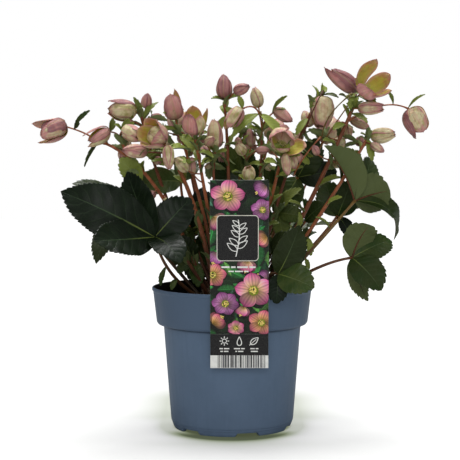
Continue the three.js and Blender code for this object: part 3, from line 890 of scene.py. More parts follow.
# %% [markdown]
# ## The crown
# All stems and leaf stalks rise from one woody crown, wrapped in the brown papery scales of earlier
# years. A low mound carries it, and short bent sheets make the scales.

# %% Crown
CROWN_OUTLINE = [(0, 151.35), (46, 151.35), (45, 153.35), (36, 156.35), (20, 159.35), (0, 160.35)]
CROWN_FOOT = 152
SCALE_COUNT = 90
SCALE_CIRCLE = 42
SCALE_LEVEL = 159.5
SCALE_ROWS, SCALE_COLUMNS = np.linspace(0, 1, 7), np.linspace(-1, 1, 5)
HUSK_DARK = paint(58, 40, 28)
HUSK_PALE = paint(104, 76, 50)
HUSK_ROT = paint(42, 32, 20)

crown_finish, tree, shader = new_finish("papery_crown")
streaks = use(tree, STREAKS, {"Across": 12.0, "Along": 2.0})
husk = use(tree, CLOUDED, {
    "Size": 4.0, "Amount": 0.8, "Colour": mix(streaks["Mask"], HUSK_DARK, HUSK_PALE), "Other": HUSK_ROT})
put(shader.inputs["Base Color"], husk["Colour"])
put(shader.inputs["Roughness"], ease(husk["Mask"], 0.0, 1.0, 0.6, 0.85))
bump(shader, streaks["Mask"], 0.4)


def roughen_crown(angle, radius, height):
    if height < CROWN_FOOT:
        return height
    x, y = around_pot(radius, angle)
    return height - 0.5 + 0.7 * ripple(x, y, 12, 0.6) + 0.4 * ripple(x, y, 5, 3.1)


crown_skin = Skin()
turn_outline(crown_skin, fill_in(np.array(CROWN_OUTLINE, float), 2.0), 96, roughen_crown)
chance = random.Random(5)
for _ in range(SCALE_COUNT):
    radius = SCALE_CIRCLE * math.sqrt(chance.random())
    heading = chance.uniform(0, 2 * math.pi)
    outward = np.array([math.cos(heading), math.sin(heading), 0.0])
    foot = outward * radius + np.array([0, 0, SCALE_LEVEL - 0.12 * radius ** 1.05])
    tall = chance.uniform(6, 15)
    lean = outward * chance.uniform(0.1, 0.5) + np.array([0, 0, 1])
    beside = np.cross(lean, outward)
    wide = chance.uniform(2.2, 4.6)
    grid = np.zeros((7, 5, 3))
    for r, s in enumerate(SCALE_ROWS):
        reach = wide * max(0.06, (1 - s ** 2) ** 0.6)
        for c, t in enumerate(SCALE_COLUMNS):
            curl = t * t * wide * 0.4 - s * s * 1.5
            grid[r, c] = foot + lean * tall * s + beside * t * reach - outward * curl
    places = np.stack(np.meshgrid((SCALE_COLUMNS + 1) / 2, SCALE_ROWS), axis=-1)
    add_sheet(crown_skin, grid * MM, 0.35 * MM, places, tone=chance.random())
settle(crown_skin.make("crown_scales", [crown_finish]), "crown", "crown")
print("crown:", SCALE_COUNT, "scales")

# %% [markdown]
# ## The picture label
# A tall plastic card hangs in front of the pot from a small hook over the rim. The card is a rounded
# outline pushed to its thickness with bevelled edges. The print is thin coloured shapes laid on the
# card, each a hair above the last. That keeps its edges sharp at any distance without a picture file.

# %% Card shape
CARD_WIDTH = 66
CARD_HEIGHT = 215
CARD_THICKNESS = 0.8
CARD_BOTTOM = 84
CARD_CENTRE_X = 8
CARD_LEAN = 4.75
CARD_CORNER = 3
CARD_GAP = 1.3
RIM_RADIUS = 95.5
CARD_MIDDLE = CARD_BOTTOM + CARD_HEIGHT / 2
CARD_BACK = -(RIM_RADIUS + CARD_GAP) - (CARD_MIDDLE - RIM_HEIGHT) * math.tan(math.radians(CARD_LEAN))
LEAN_SIN, LEAN_COS = math.sin(math.radians(CARD_LEAN)), math.cos(math.radians(CARD_LEAN))


def on_card(u, v, lift=0.0):
    """A place on the card: u across and v up from its centre, lift in front of its printed face."""
    out = CARD_THICKNESS + lift
    return (CARD_CENTRE_X + u, CARD_BACK - v * LEAN_SIN - out * LEAN_COS,
            CARD_MIDDLE + v * LEAN_COS - out * LEAN_SIN)


def rounded_box(width, height, radius, steps=6):
    """The outline of a rectangle with round corners, anticlockwise about its centre."""
    outline = []
    for turn, (sx, sy) in enumerate(((1, 1), (-1, 1), (-1, -1), (1, -1))):
        for angle in np.linspace(0, 90, steps):
            heading = math.radians(turn * 90 + angle)
            outline.append((sx * (width / 2 - radius) + radius * math.cos(heading),
                            sy * (height / 2 - radius) + radius * math.sin(heading)))
    return outline


card_finish, tree, shader = new_finish("card_plastic")
fibres = use(tree, CLOUDED, {
    "Size": 6.0, "Amount": 0.5, "Colour": paint(160, 166, 156), "Other": paint(146, 152, 142)})
put(shader.inputs["Base Color"], fibres["Colour"])
put(shader.inputs["Roughness"], ease(fibres["Mask"], 0.0, 1.0, 0.4, 0.5))
bump(shader, cloud(tree, 0.8, 2.0), 0.02)

outline = rounded_box(CARD_WIDTH, CARD_HEIGHT, CARD_CORNER)
corners = [on_card(u, v, lift) for lift in (0.0, -CARD_THICKNESS) for u, v in outline]
count = len(outline)
faces = [list(range(count)), list(range(2 * count - 1, count - 1, -1))]
faces += [[i + count, (i + 1) % count + count, (i + 1) % count, i] for i in range(count)]
card_skin = Skin()
card_skin.add(metres(corners), faces, np.zeros((2 * count, 2)))
card = card_skin.make("label_card_body", [card_finish], sharp_angle=30)
edges = card.modifiers.new("soft edges", "BEVEL")
edges.width = 0.12 * MM
edges.segments = 2
edges.limit_method = "ANGLE"
apply_modifiers(card)
settle(card, "label", "label_card")
print("card:", len(card.data.polygons), "faces")

# %% [markdown]
# The print is generic: blossoms, bells and leaves on a dark green ground, a plain dark panel with a
# drawn sprig, a strip with a sun, a drop and a leaf, and a band of plain bars. It holds no words, and
# rows of dashes stand where captions would be. Each shape carries its ink as a colour on its points, so
# a petal can shade from its heart to its edge. All numbers are millimetres from the card's centre.

# %% Print tools
class Print:
    """Collects flat inked shapes for one face of the card, each layer a hair above the last."""
    FIRST_LIFT = 0.02
    STEP = 0.003

    def __init__(self, front, limits):
        self.front = front
        self.limits = limits
        self.points, self.inks, self.faces = [], [], []
        self.lift = self.FIRST_LIFT

    def place(self, u, v):
        left, right, low, high = self.limits
        u, v = min(max(u, left), right), min(max(v, low), high)
        if self.front:
            return on_card(u, v, self.lift)
        return on_card(-u, v, -CARD_THICKNESS - self.lift)

    def fan(self, centre, outline, ink, edge_ink=None):
        """A shape filled from a centre point. The ink may differ between centre and edge."""
        first = len(self.points)
        self.points += [self.place(*centre)] + [self.place(u, v) for u, v in outline]
        self.inks += [ink] + [edge_ink or ink] * len(outline)
        count = len(outline)
        self.faces += [[first, first + 1 + i, first + 1 + (i + 1) % count] for i in range(count)]
        self.lift += self.STEP

    def grid(self, rows, inks):
        """A patch from rows of places, with an ink for each place."""
        first, count = len(self.points), len(rows[0])
        for row, row_inks in zip(rows, inks):
            self.points += [self.place(u, v) for u, v in row]
            self.inks += row_inks
        for r in range(len(rows) - 1):
            for c in range(count - 1):
                corner = first + r * count + c
                self.faces.append([corner, corner + 1, corner + count + 1, corner + count])
        self.lift += self.STEP

    def make(self, name, finish):
        mesh = bpy.data.meshes.new(name)
        mesh.from_pydata(metres(self.points).tolist(), [], self.faces)
        inks = mesh.color_attributes.new(name="ink", type="FLOAT_COLOR", domain="POINT")
        inks.data.foreach_set("color", np.array(self.inks, float).ravel())
        mesh.materials.append(finish)
        mesh.update()
        return show(name, mesh)


def turned_to(centre, angle, places):
    """Flat places turned by an angle in degrees and moved to a centre."""
    c, s = math.cos(math.radians(angle)), math.sin(math.radians(angle))
    return [(centre[0] + (u * c - v * s), centre[1] + (u * s + v * c)) for u, v in places]


def leaf_outline(length, width):
    """A pointed oval that starts at (0, 0) and points along u."""
    upper = []
    for s in np.linspace(0, 1, 17):
        reach = width * 0.5 * (math.sin(math.pi * s ** 0.8) ** 0.9 if 0 < s < 1 else 0)
        upper.append((s * length, reach))
    return upper + [(u, -v) for u, v in reversed(upper[1:-1])]


print_finish, tree, shader = new_finish("label_print")
dots = cloud(tree, 0.7, 1.0)
blotch = cloud(tree, 5.0, 2.0)
darker = mix(ease(blotch, 0.35, 0.7, 0.0, 0.12), mark(tree, "ink", "Color"), paint(14, 22, 14))
dotted = mix(ease(dots, 0.4, 0.7, 0.0, 0.03), darker, paint(240, 236, 226))
put(shader.inputs["Base Color"], dotted)
put(shader.inputs["Roughness"], ease(blotch, 0.3, 0.7, 0.32, 0.4))
shader.inputs["Specular IOR Level"].default_value = 0.2
bump(shader, dots, 0.01)
print("print tools and", print_finish.name, "are ready")

# %% [markdown]
# A bell is (base, angle, size, inks) and a blossom (centre, size, turn, inks, tilt, petals). The inks of
# a flower run from its heart, 0, to its edge, 1.

# %% Inks and layout of the picture part
PICTURE_LOW = -68
CARD_SPAN = (-33, 33)
PRINT_SPAN = (-32.92, 32.92)
PRINT_TOP = 107.4
BLOOM_LEAVES = 64
INK_GROUND = [paint(8, 14, 9), paint(16, 32, 16), paint(26, 50, 24), paint(12, 22, 12)]
INK_SHADOW = paint(5, 8, 6)
LEAF_INKS = [(60, 156, 72), (40, 116, 56), (104, 172, 76), (34, 92, 54), (84, 146, 116)]
PINK = [(0.0, (84, 78, 22)), (0.12, (140, 110, 52)), (0.3, (226, 176, 140)), (0.58, (236, 150, 168)),
        (0.84, (222, 98, 156)), (1.0, (142, 44, 98))]
PURPLE = [(0.0, (96, 84, 34)), (0.16, (150, 104, 110)), (0.5, (206, 132, 190)), (0.84, (168, 84, 152)),
          (1.0, (88, 34, 84))]
SALMON = [(0.0, (82, 72, 22)), (0.14, (150, 112, 50)), (0.4, (222, 158, 110)), (0.7, (226, 128, 134)),
          (0.9, (196, 84, 118)), (1.0, (118, 42, 70))]
INK_EYE = paint(120, 138, 24)
INK_DARK_EYE = paint(52, 46, 14)
INK_STAMEN = paint(250, 222, 118)
SUNFLOWER_TURN = 137.5
BELLS = [
    ((30, 101), 215, 17, PURPLE), ((-30, 66), -48, 18, PINK), ((31, 44), 205, 16, SALMON),
    ((-25, 26), 250, 17, PURPLE), ((9, 17), 262, 17, PINK), ((-30, -57), 40, 17, SALMON),
    ((31, -6), 150, 15, PURPLE), ((5, -36), 250, 14, PINK),
]
BLOSSOMS = [
    ((-13, 89), 22, 12, PINK, 0.9, 5), ((26, 74), 15, 40, PURPLE, 0.9, 6),
    ((-30, 0), 16, 5, SALMON, 0.92, 6), ((16, -18), 23, 25, PINK, 0.92, 5),
    ((-16, -33), 17, 50, PURPLE, 0.86, 6), ((25, -55), 17, 0, SALMON, 0.9, 5),
    ((-4, -61), 11, 30, PINK, 0.85, 6),
]
print("picture:", len(BELLS), "bells and", len(BLOSSOMS), "blossoms")

# %% Leaf and petal drawing
LEAF_ACROSS = (-1, -0.5, -0.07, 0, 0.07, 0.5, 1)


def shaded(stops, share, light=1.0):
    """An ink between several stops of (share, (red, green, blue)), made lighter or darker."""
    marks = [stop[0] for stop in stops]
    parts = (float(np.interp(share, marks, [stop[1][i] for stop in stops])) for i in range(3))
    return paint(*(min(255, light * part) for part in parts))


def draw_leaf(sheet, place, angle, length, width, ink, light):
    """A toothed leaf. One half is lighter, and a pale vein runs up the middle."""
    rows, inks = [], []
    for r, s in enumerate(np.linspace(0, 1, 19)):
        tooth = 1.1 if r % 2 else 0.97
        reach = width * 0.5 * max(0.02, math.sin(math.pi * s ** 0.85)) ** 0.9 * tooth
        rows.append(turned_to(place, angle, [(s * length, t * reach) for t in LEAF_ACROSS]))
        rib = 1.12 if r % 3 == 0 else 0.92
        lights = (0.42 * rib, 0.72 * rib, 0.8, 1.7, 1.0, 1.1 * rib, 0.66 * rib)
        inks.append([paint(*(min(255, c * light * part) for c in ink)) for part in lights])
    sheet.grid(rows, inks)


def draw_petal(sheet, centre, angle, size, stops, wide, light, tilt=1.0):
    """A broad petal that is shaded from its heart to its edge, with fine streaks and a fold."""
    rows, inks = [], []
    across = np.linspace(-1, 1, 11)
    for s in np.linspace(0, 1, 12):
        reach = wide * size * max(0.0, math.sin(math.pi * s ** 1.35)) ** 0.62
        bulge = [(size * (s - 0.05 * t * t * s), t * reach) for t in across]
        turned = turned_to(centre, angle, bulge)
        rows.append([(u, centre[1] + (v - centre[1]) * tilt) for u, v in turned])
        row_inks = []
        for c, t in enumerate(across):
            from_heart = max(s ** 1.15, 0.34 * s + 0.66 * abs(t) ** 3.5 * (0.35 + 0.65 * s))
            streak = (0.88 if c % 2 else 1.05) * (0.86 if t == 0 else 1.0)
            row_inks.append(shaded(stops, min(1, from_heart), light * (1 + 0.16 * t) * streak))
        inks.append(row_inks)
    sheet.grid(rows, inks)


def dot(sheet, spot, radius, ink, sides=7):
    sheet.fan(spot, [(spot[0] + radius * math.cos(a), spot[1] + radius * math.sin(a))
                     for a in np.linspace(0, 2 * math.pi, sides, endpoint=False)], ink)


def draw_shadow(sheet, centre, size, tilt=1.0):
    outline = []
    for a in np.linspace(0, 2 * math.pi, 30, endpoint=False):
        lobe = size * (1 + 0.12 * math.cos(5 * a))
        outline.append((centre[0] + 0.8 + lobe * math.cos(a), centre[1] - 1.2 + lobe * tilt * math.sin(a)))
    sheet.fan(centre, outline, INK_SHADOW)


def away(centre, angle, distance):
    """A place at this distance and angle in degrees from another."""
    return turned_to(centre, angle, [(distance, 0)])[0]


print("leaf and petal drawing is ready")

# %% Blossoms and bells
def draw_blossom(sheet, centre, size, turn, stops, tilt, petals):
    """A face-on blossom: broad petals that overlap, a green eye and a tuft of stamens."""
    draw_shadow(sheet, centre, size * 0.86, tilt)
    for number in range(petals):
        second_round = number >= petals / 2 and petals % 2 == 0
        angle = turn + number * 2 * 360 / petals + (360 / petals if second_round else 0)
        light = chance.uniform(0.8, 1.08) * (1.06 if math.sin(math.radians(angle)) > 0 else 0.88)
        draw_petal(sheet, centre, angle, size * chance.uniform(0.92, 1.04), stops, 0.4, light, tilt)
    dot(sheet, centre, 0.23 * size, INK_DARK_EYE, 12)
    for number in range(11):
        dot(sheet, away(centre, turn + 360 / 11 * number, 0.2 * size), 0.062 * size, INK_EYE)
    for number in range(18):
        reach = size * chance.uniform(0.02, 0.2)
        dot(sheet, away(centre, number * SUNFLOWER_TURN, reach), 0.042 * size, INK_STAMEN, 6)


def draw_bell(sheet, base, angle, size, stops):
    """A blossom from the side: three petals behind, an open mouth and two petals in front."""
    draw_shadow(sheet, away(base, angle, size * 0.5), size * 0.5)
    for off, light in ((-38, 0.55), (38, 0.6), (0, 0.5)):
        draw_petal(sheet, base, angle + off, size * 0.92, stops, 0.36, light)
    mouth = away(base, angle, size * 0.74)
    for number in range(9):
        spot = away(mouth, number * SUNFLOWER_TURN, size * 0.15 * math.sqrt(number / 9))
        dot(sheet, spot, 0.045 * size, INK_STAMEN, 6)
    for off, light in ((-21, 0.92), (21, 1.08)):
        draw_petal(sheet, base, angle + off, size * 0.86, stops, 0.34, light)


front = Print(True, (*PRINT_SPAN, PICTURE_LOW, PRINT_TOP))
chance = random.Random(21)
ground = [[(u, v) for u in np.linspace(*CARD_SPAN, 9)] for v in np.linspace(PICTURE_LOW, PRINT_TOP, 24)]
front.grid(ground, [[chance.choice(INK_GROUND) for _ in row] for row in ground])
for _ in range(BLOOM_LEAVES):
    spot = (chance.uniform(-36, 36), chance.uniform(PICTURE_LOW, 108))
    length = chance.uniform(14, 30)
    angle = chance.uniform(0, 360)
    width = length * chance.uniform(0.34, 0.5)
    draw_leaf(front, spot, angle, length, width, chance.choice(LEAF_INKS), chance.uniform(0.5, 1.2))
for bell in BELLS:
    draw_bell(front, *bell)
for blossom in BLOSSOMS:
    draw_blossom(front, *blossom)
print("picture:", len(front.faces), "inked faces")

# %% Draw the panel
INK_PANEL = paint(22, 21, 24)
INK_FRAME = paint(232, 228, 216)
INK_WHITE = paint(244, 244, 240)
PANEL = (-2, 42)
for box, ink in (((47.2, 52.2, 4.5), INK_FRAME), ((45.6, 50.6, 3.8), INK_PANEL)):
    front.fan(PANEL, turned_to(PANEL, 0, rounded_box(*box)), ink)


def stroke(sheet, places, width, ink):
    """A line of even width through these places."""
    line = np.array(places, float)
    ahead = units(np.gradient(line, axis=0))
    beside = np.stack([-ahead[:, 1], ahead[:, 0]], axis=1) * width / 2
    sheet.grid([(line + beside).tolist(), (line - beside).tolist()], [[ink] * len(line)] * 2)


def rules(sheet, centre, height, parts, thick):
    """A row of plain dashes, centred, where a caption would be."""
    gap = thick * 0.9
    edge = centre - (sum(parts) + gap * (len(parts) - 1)) / 2
    for part in parts:
        stroke(sheet, [(edge, height), (edge + part, height)], thick, INK_WHITE)
        edge += part + gap


def ring(centre, radius):
    return [(centre[0] + radius * math.cos(a), centre[1] + radius * math.sin(a))
            for a in np.linspace(0, 2 * math.pi, 20)]


sprig_line = [(PANEL[0] - 2 + 4 * math.sin(s * 2.4), PANEL[1] - 21 + 42 * s) for s in np.linspace(0, 1, 14)]
stroke(front, sprig_line, 1.1, INK_WHITE)
for number, share in enumerate(np.linspace(0.16, 0.92, 9)):
    spot = sprig_line[int(share * 13)]
    angle = 38 if number % 2 else 142
    length = 15.5 * (1 - 0.45 * share)
    outline = turned_to(spot, angle, leaf_outline(length, length * 0.42))
    stroke(front, outline + outline[:1], 0.85, INK_WHITE)
rules(front, -1, 9, (9, 5, 12, 7), 2.0)
rules(front, -1, 4.2, (6, 9, 5), 1.5)
print("panel:", len(front.faces), "inked faces so far")

# %% Draw the strip and the bars
STRIP_LOW = -92.6
BARS_MIDDLE = -99.6
BARS_START, BARS_END = -24.5, 29


def block(sheet, centre, across, up, ink, edge_ink=None):
    """A filled rectangle between two places across and two places up."""
    outline = [(across[0], up[0]), (across[1], up[0]), (across[1], up[1]), (across[0], up[1])]
    sheet.fan(centre, outline, ink, edge_ink)


front.limits = (*PRINT_SPAN, -PRINT_TOP, PRINT_TOP)
block(front, (0, -80), CARD_SPAN, (STRIP_LOW, PICTURE_LOW), INK_PANEL)
sun, drop, sprig = (-17, -76), (0, -76), (17, -76)
stroke(front, ring(sun, 2.4), 0.9, INK_WHITE)
for number in range(8):
    stroke(front, turned_to(sun, 45 * number, [(3.5, 0), (5.4, 0)]), 1.0, INK_WHITE)
drop_line = [(3.6 * math.sin(a) * math.sin(a / 2) ** 1.4, 5.2 * math.cos(a))
             for a in np.linspace(0, 2 * math.pi, 26)]
stroke(front, turned_to(drop, 0, drop_line), 1.0, INK_WHITE)
leaf_line = turned_to((sprig[0] - 4.2, sprig[1] - 3.8), 42, leaf_outline(11.5, 6))
stroke(front, leaf_line + leaf_line[:1], 0.95, INK_WHITE)
stroke(front, turned_to((sprig[0] - 5.6, sprig[1] - 5), 42, [(0, 0), (10.5, 0)]), 0.8, INK_WHITE)
for centre, upper, lower in ((-17, (4, 6), (3, 5)), (0, (7, 4), (2, 6)), (17, (5, 3), (8,))):
    rules(front, centre, -84.8, upper, 1.3)
    rules(front, centre, -88.0, lower, 1.3)

block(front, (0, BARS_MIDDLE), CARD_SPAN, (-PRINT_TOP, STRIP_LOW), INK_WHITE)
chance = random.Random(8)
edge = BARS_START
while edge < BARS_END:
    bar = chance.choice((0.5, 0.8, 1.2, 1.9))
    grey = chance.choice((paint(34, 34, 38), paint(66, 66, 70), paint(98, 98, 102)))
    block(front, (edge + bar / 2, BARS_MIDDLE), (edge, edge + bar), (-107, STRIP_LOW), grey)
    edge += bar + chance.choice((0.5, 0.8, 1.1))
settle(front.make("label_print_front", print_finish), "label")

back = Print(False, (-32.6, 32.6, -106.6, 106.6))
block(back, (0, 60), CARD_SPAN, (22, 106.7), paint(30, 60, 34), paint(18, 38, 22))
chance = random.Random(3)
for _ in range(22):
    spot = (chance.uniform(-26, 26), chance.uniform(30, 100))
    angle = chance.uniform(0, 360)
    draw_leaf(back, spot, angle, 22, 10, chance.choice(LEAF_INKS[:3]), chance.uniform(0.6, 1.1))
for row in range(9):
    stroke(back, [(-26, 10 - 9 * row), (22 - 7 * (row % 3), 10 - 9 * row)], 1.0, paint(120, 132, 118))
settle(back.make("label_print_back", print_finish), "label")
print("print:", len(front.faces) + len(back.faces), "inked faces")

# %% [markdown]
# The hook keeps its CAD shape, since a bent strip is all it is, and gets milky moulded plastic.

# %% Hook
hook_finish, tree, shader = new_finish("milky_hook_plastic")
milk = use(tree, CLOUDED, {
    "Size": 5.0, "Amount": 0.6, "Colour": paint(228, 230, 224), "Other": paint(210, 214, 206)})
put(shader.inputs["Base Color"], milk["Colour"])
put(shader.inputs["Roughness"], ease(milk["Mask"], 0.0, 1.0, 0.3, 0.42))
bump(shader, cloud(tree, 1.2, 2.0), 0.03)
for holder in frame["nodes"]["label_clip"].material_slots:
    holder.material = hook_finish
print("hook:", hook_finish.name)

# %% [markdown]
# ## Where the plant's parts are
# These tables repeat the CAD model's layout, in millimetres. A stem runs from its foot in the crown
# through a middle point to its top. Its buds are (share along the stem, base, tip, width), and its
# leafy bracts are (share, tip, width, the way the upper side faces).

# %% Stems
STEMS = {
    "stem_01": {"foot": (-30, -7), "middle": (-88, -18, 284), "top": (-159, -20, 342),
        "buds": [(0.5, (-91, -26, 282), (-99, -32, 273), 9), (0.48, (-78, -25, 274), (-76, -32, 265), 8)]},
    "stem_02": {"foot": (-24, -15), "middle": (-94, -36, 272), "top": (-131, -27, 345), "thick": 2.2,
        "bracts": [(0.62, (-130, -44, 322), 24, (-0.2, -0.9, 0.3))]},
    "stem_03": {"foot": (-25, 8), "middle": (-78, 8, 272), "top": (-108, 0, 372),
        "buds": [(0.97, (-103, 14, 380), (-101, 10, 397), 13),
            (0.9, (-118, -18, 366), (-122, -24, 352), 8)]},
    "stem_04": {"foot": (-18, -22), "middle": (-46, -38, 270), "top": (-78, -60, 334), "thick": 3},
    "stem_05": {"foot": (-13, 11), "middle": (-40, 11, 275), "top": (-67, 10, 362)},
    "stem_06": {"foot": (-10, -9), "middle": (-29, -24, 264), "top": (-43, -35, 345),
        "buds": [(0.72, (-52, -60, 307), (-65, -70, 322), 12), (0.66, (-46, -44, 303), (-47, -46, 322), 9)]},
    "stem_07": {"foot": (-6, -24), "middle": (-20, -20, 262), "top": (-20, -17, 328), "thick": 2,
        "buds": [(0.95, (-30, -34, 338), (-22, -48, 345), 10)]},
    "stem_08": {"foot": (-3, 16), "middle": (-4, 14, 285), "top": (-9, 15, 387),
        "buds": [(0.98, (2, 8, 399), (20, 0, 406), 13)]},
    "stem_09": {"foot": (13, 2), "middle": (30, 2, 262), "top": (35, 0, 356), "thick": 2.2,
        "buds": [(0.99, (32, 26, 381), (26, 28, 404), 15)]},
    "stem_10": {"foot": (17, -12), "middle": (40, -40, 252), "top": (58, -60, 330),
        "buds": [(0.96, (68, -52, 330), (72, -54, 310), 11)]},
    "stem_11": {"foot": (5, 8), "middle": (12, 14, 250), "top": (18, 18, 322), "thick": 2,
        "buds": [(0.99, (23, 22, 334), (21, 22, 356), 12), (0.95, (14, -12, 326), (6, -24, 338), 12),
            (0.97, (28, -22, 330), (43, -28, 331), 10)]},
    "stem_12": {"foot": (24, 9), "middle": (70, 12, 316), "top": (108, 10, 398), "thick": 2,
        "buds": [(0.72, (94, 22, 358), (87, 24, 376), 15)]},
    "stem_13": {"foot": (32, -5), "middle": (98, -9, 282), "top": (147, -10, 392), "thick": 3,
        "buds": [(0.88, (141, 10, 368), (163, 12, 357), 13), (0.84, (132, 12, 364), (130, 14, 350), 10),
            (0.72, (122, 8, 334), (134, 12, 343), 14), (0.66, (100, -24, 325), (95, -28, 336), 9)]},
    "stem_14": {"foot": (37, -15), "middle": (104, -24, 256), "top": (159, -16, 344), "thick": 2.6,
        "buds": [(0.97, (162, -28, 338), (176, -34, 329), 10)]},
    "stem_15": {"foot": (-15, 22), "middle": (-42, 56, 262), "top": (-60, 84, 348)},
    "stem_16": {"foot": (11, 26), "middle": (28, 64, 262), "top": (46, 88, 342)},
}

FOOT_LEVEL = 154
print("stems:", len(STEMS))

# %% [markdown]
# A flower stands on a stem at a share of its length, or on a foot of its own. Its stalk ends at `base`,
# and the tepals reach to `tip`. `via` is a point in the middle of the stalk, where it bends there.

# %% Flowers
FLOWERS = {
    "flower_01": {"on": ("stem_01", 1), "base": (-195, -20, 360), "tip": (-227, -38, 348), "width": 28},
    "flower_02": {"on": ("stem_02", 1), "base": (-143, -32, 354), "tip": (-167, -44, 339), "width": 23},
    "flower_03": {"on": ("stem_02", 1), "base": (-126, -38, 355), "tip": (-106, -52, 345), "width": 19},
    "flower_04": {"on": ("stem_03", 1), "base": (-114, -10, 376), "tip": (-144, -24, 377), "width": 24},
    "flower_05": {"on": ("stem_04", 1), "base": (-78, -66, 344), "tip": (-99, -90, 354), "width": 32},
    "flower_06": {"on": ("stem_04", 0.92), "base": (-98, -56, 329), "tip": (-124, -66, 331), "width": 15},
    "flower_07": {"on": ("stem_04", 0.97), "base": (-73, -86, 337), "tip": (-71, -93, 311), "width": 13},
    "flower_08": {"on": ("stem_05", 1), "base": (-67, 10, 367), "tip": (-74, 5, 397), "width": 25},
    "flower_09": {"on": ("stem_06", 1), "base": (-43, -36, 350), "tip": (-44, -45, 377), "width": 29},
    "flower_10": {"on": ("stem_07", 1), "base": (-19, -15, 333), "tip": (-21, -20, 367), "width": 19},
    "flower_11": {"on": ("stem_08", 1), "base": (-9, 15, 391), "tip": (-10, 15, 419), "width": 19},
    "flower_12": {"on": ("stem_09", 0.98), "via": (28, -14, 379), "base": (10, -18, 379), "tip": (-4, -28,
        358), "width": 20},
    "flower_13": {"on": ("stem_09", 1), "base": (50, 0, 378), "tip": (70, -10, 365), "width": 14},
    "flower_14": {"on": ("stem_10", 1), "base": (57, -64, 336), "tip": (56, -88, 349), "width": 32},
    "flower_15": {"on": ("stem_10", 0.9), "base": (60, -74, 327), "tip": (63, -84, 304), "width": 14},
    "flower_16": {"foot": (6, -34), "via": (20, -52, 240), "base": (19, -70, 297), "tip": (19, -77, 313),
        "width": 15},
    "flower_17": {"on": ("stem_12", 1), "base": (108, 10, 394), "tip": (106, 4, 357), "width": 27},
    "flower_18": {"on": ("stem_13", 1), "base": (152, -21, 399), "tip": (173, -40, 417), "width": 42},
    "flower_19": {"on": ("stem_13", 0.94), "via": (139, 8, 388), "base": (147, 5, 400), "tip": (117, 3, 426),
        "width": 20},
    "flower_20": {"on": ("stem_13", 0.94), "base": (147, -24, 379), "tip": (176, -32, 380), "width": 14},
    "flower_21": {"on": ("stem_13", 0.86), "via": (178, -2, 383), "base": (211, 4, 380), "tip": (226, 0,
        352), "width": 28},
    "flower_22": {"on": ("stem_14", 1), "base": (163, -16, 346), "tip": (190, -27, 350), "width": 17},
    "flower_23": {"on": ("stem_15", 1), "base": (-61, 87, 353), "tip": (-74, 100, 378), "width": 26},
    "flower_24": {"on": ("stem_15", 0.93), "base": (-40, 92, 343), "tip": (-24, 106, 332), "width": 16},
    "flower_25": {"on": ("stem_16", 1), "base": (48, 92, 346), "tip": (60, 112, 358), "width": 28},
    "flower_26": {"on": ("stem_16", 0.92), "base": (24, 96, 336), "tip": (12, 114, 322), "width": 22},
    "flower_27": {"foot": (30, 17), "via": (74, 44, 250), "base": (112, 70, 342), "tip": (128, 88, 364),
        "width": 26},
}

print("flowers:", len(FLOWERS))

# %% [markdown]
# A leaf's stalk runs from its foot through a middle point to the hub, where its leaflets meet. A leaflet
# is (tip, width, the way its upper side faces).

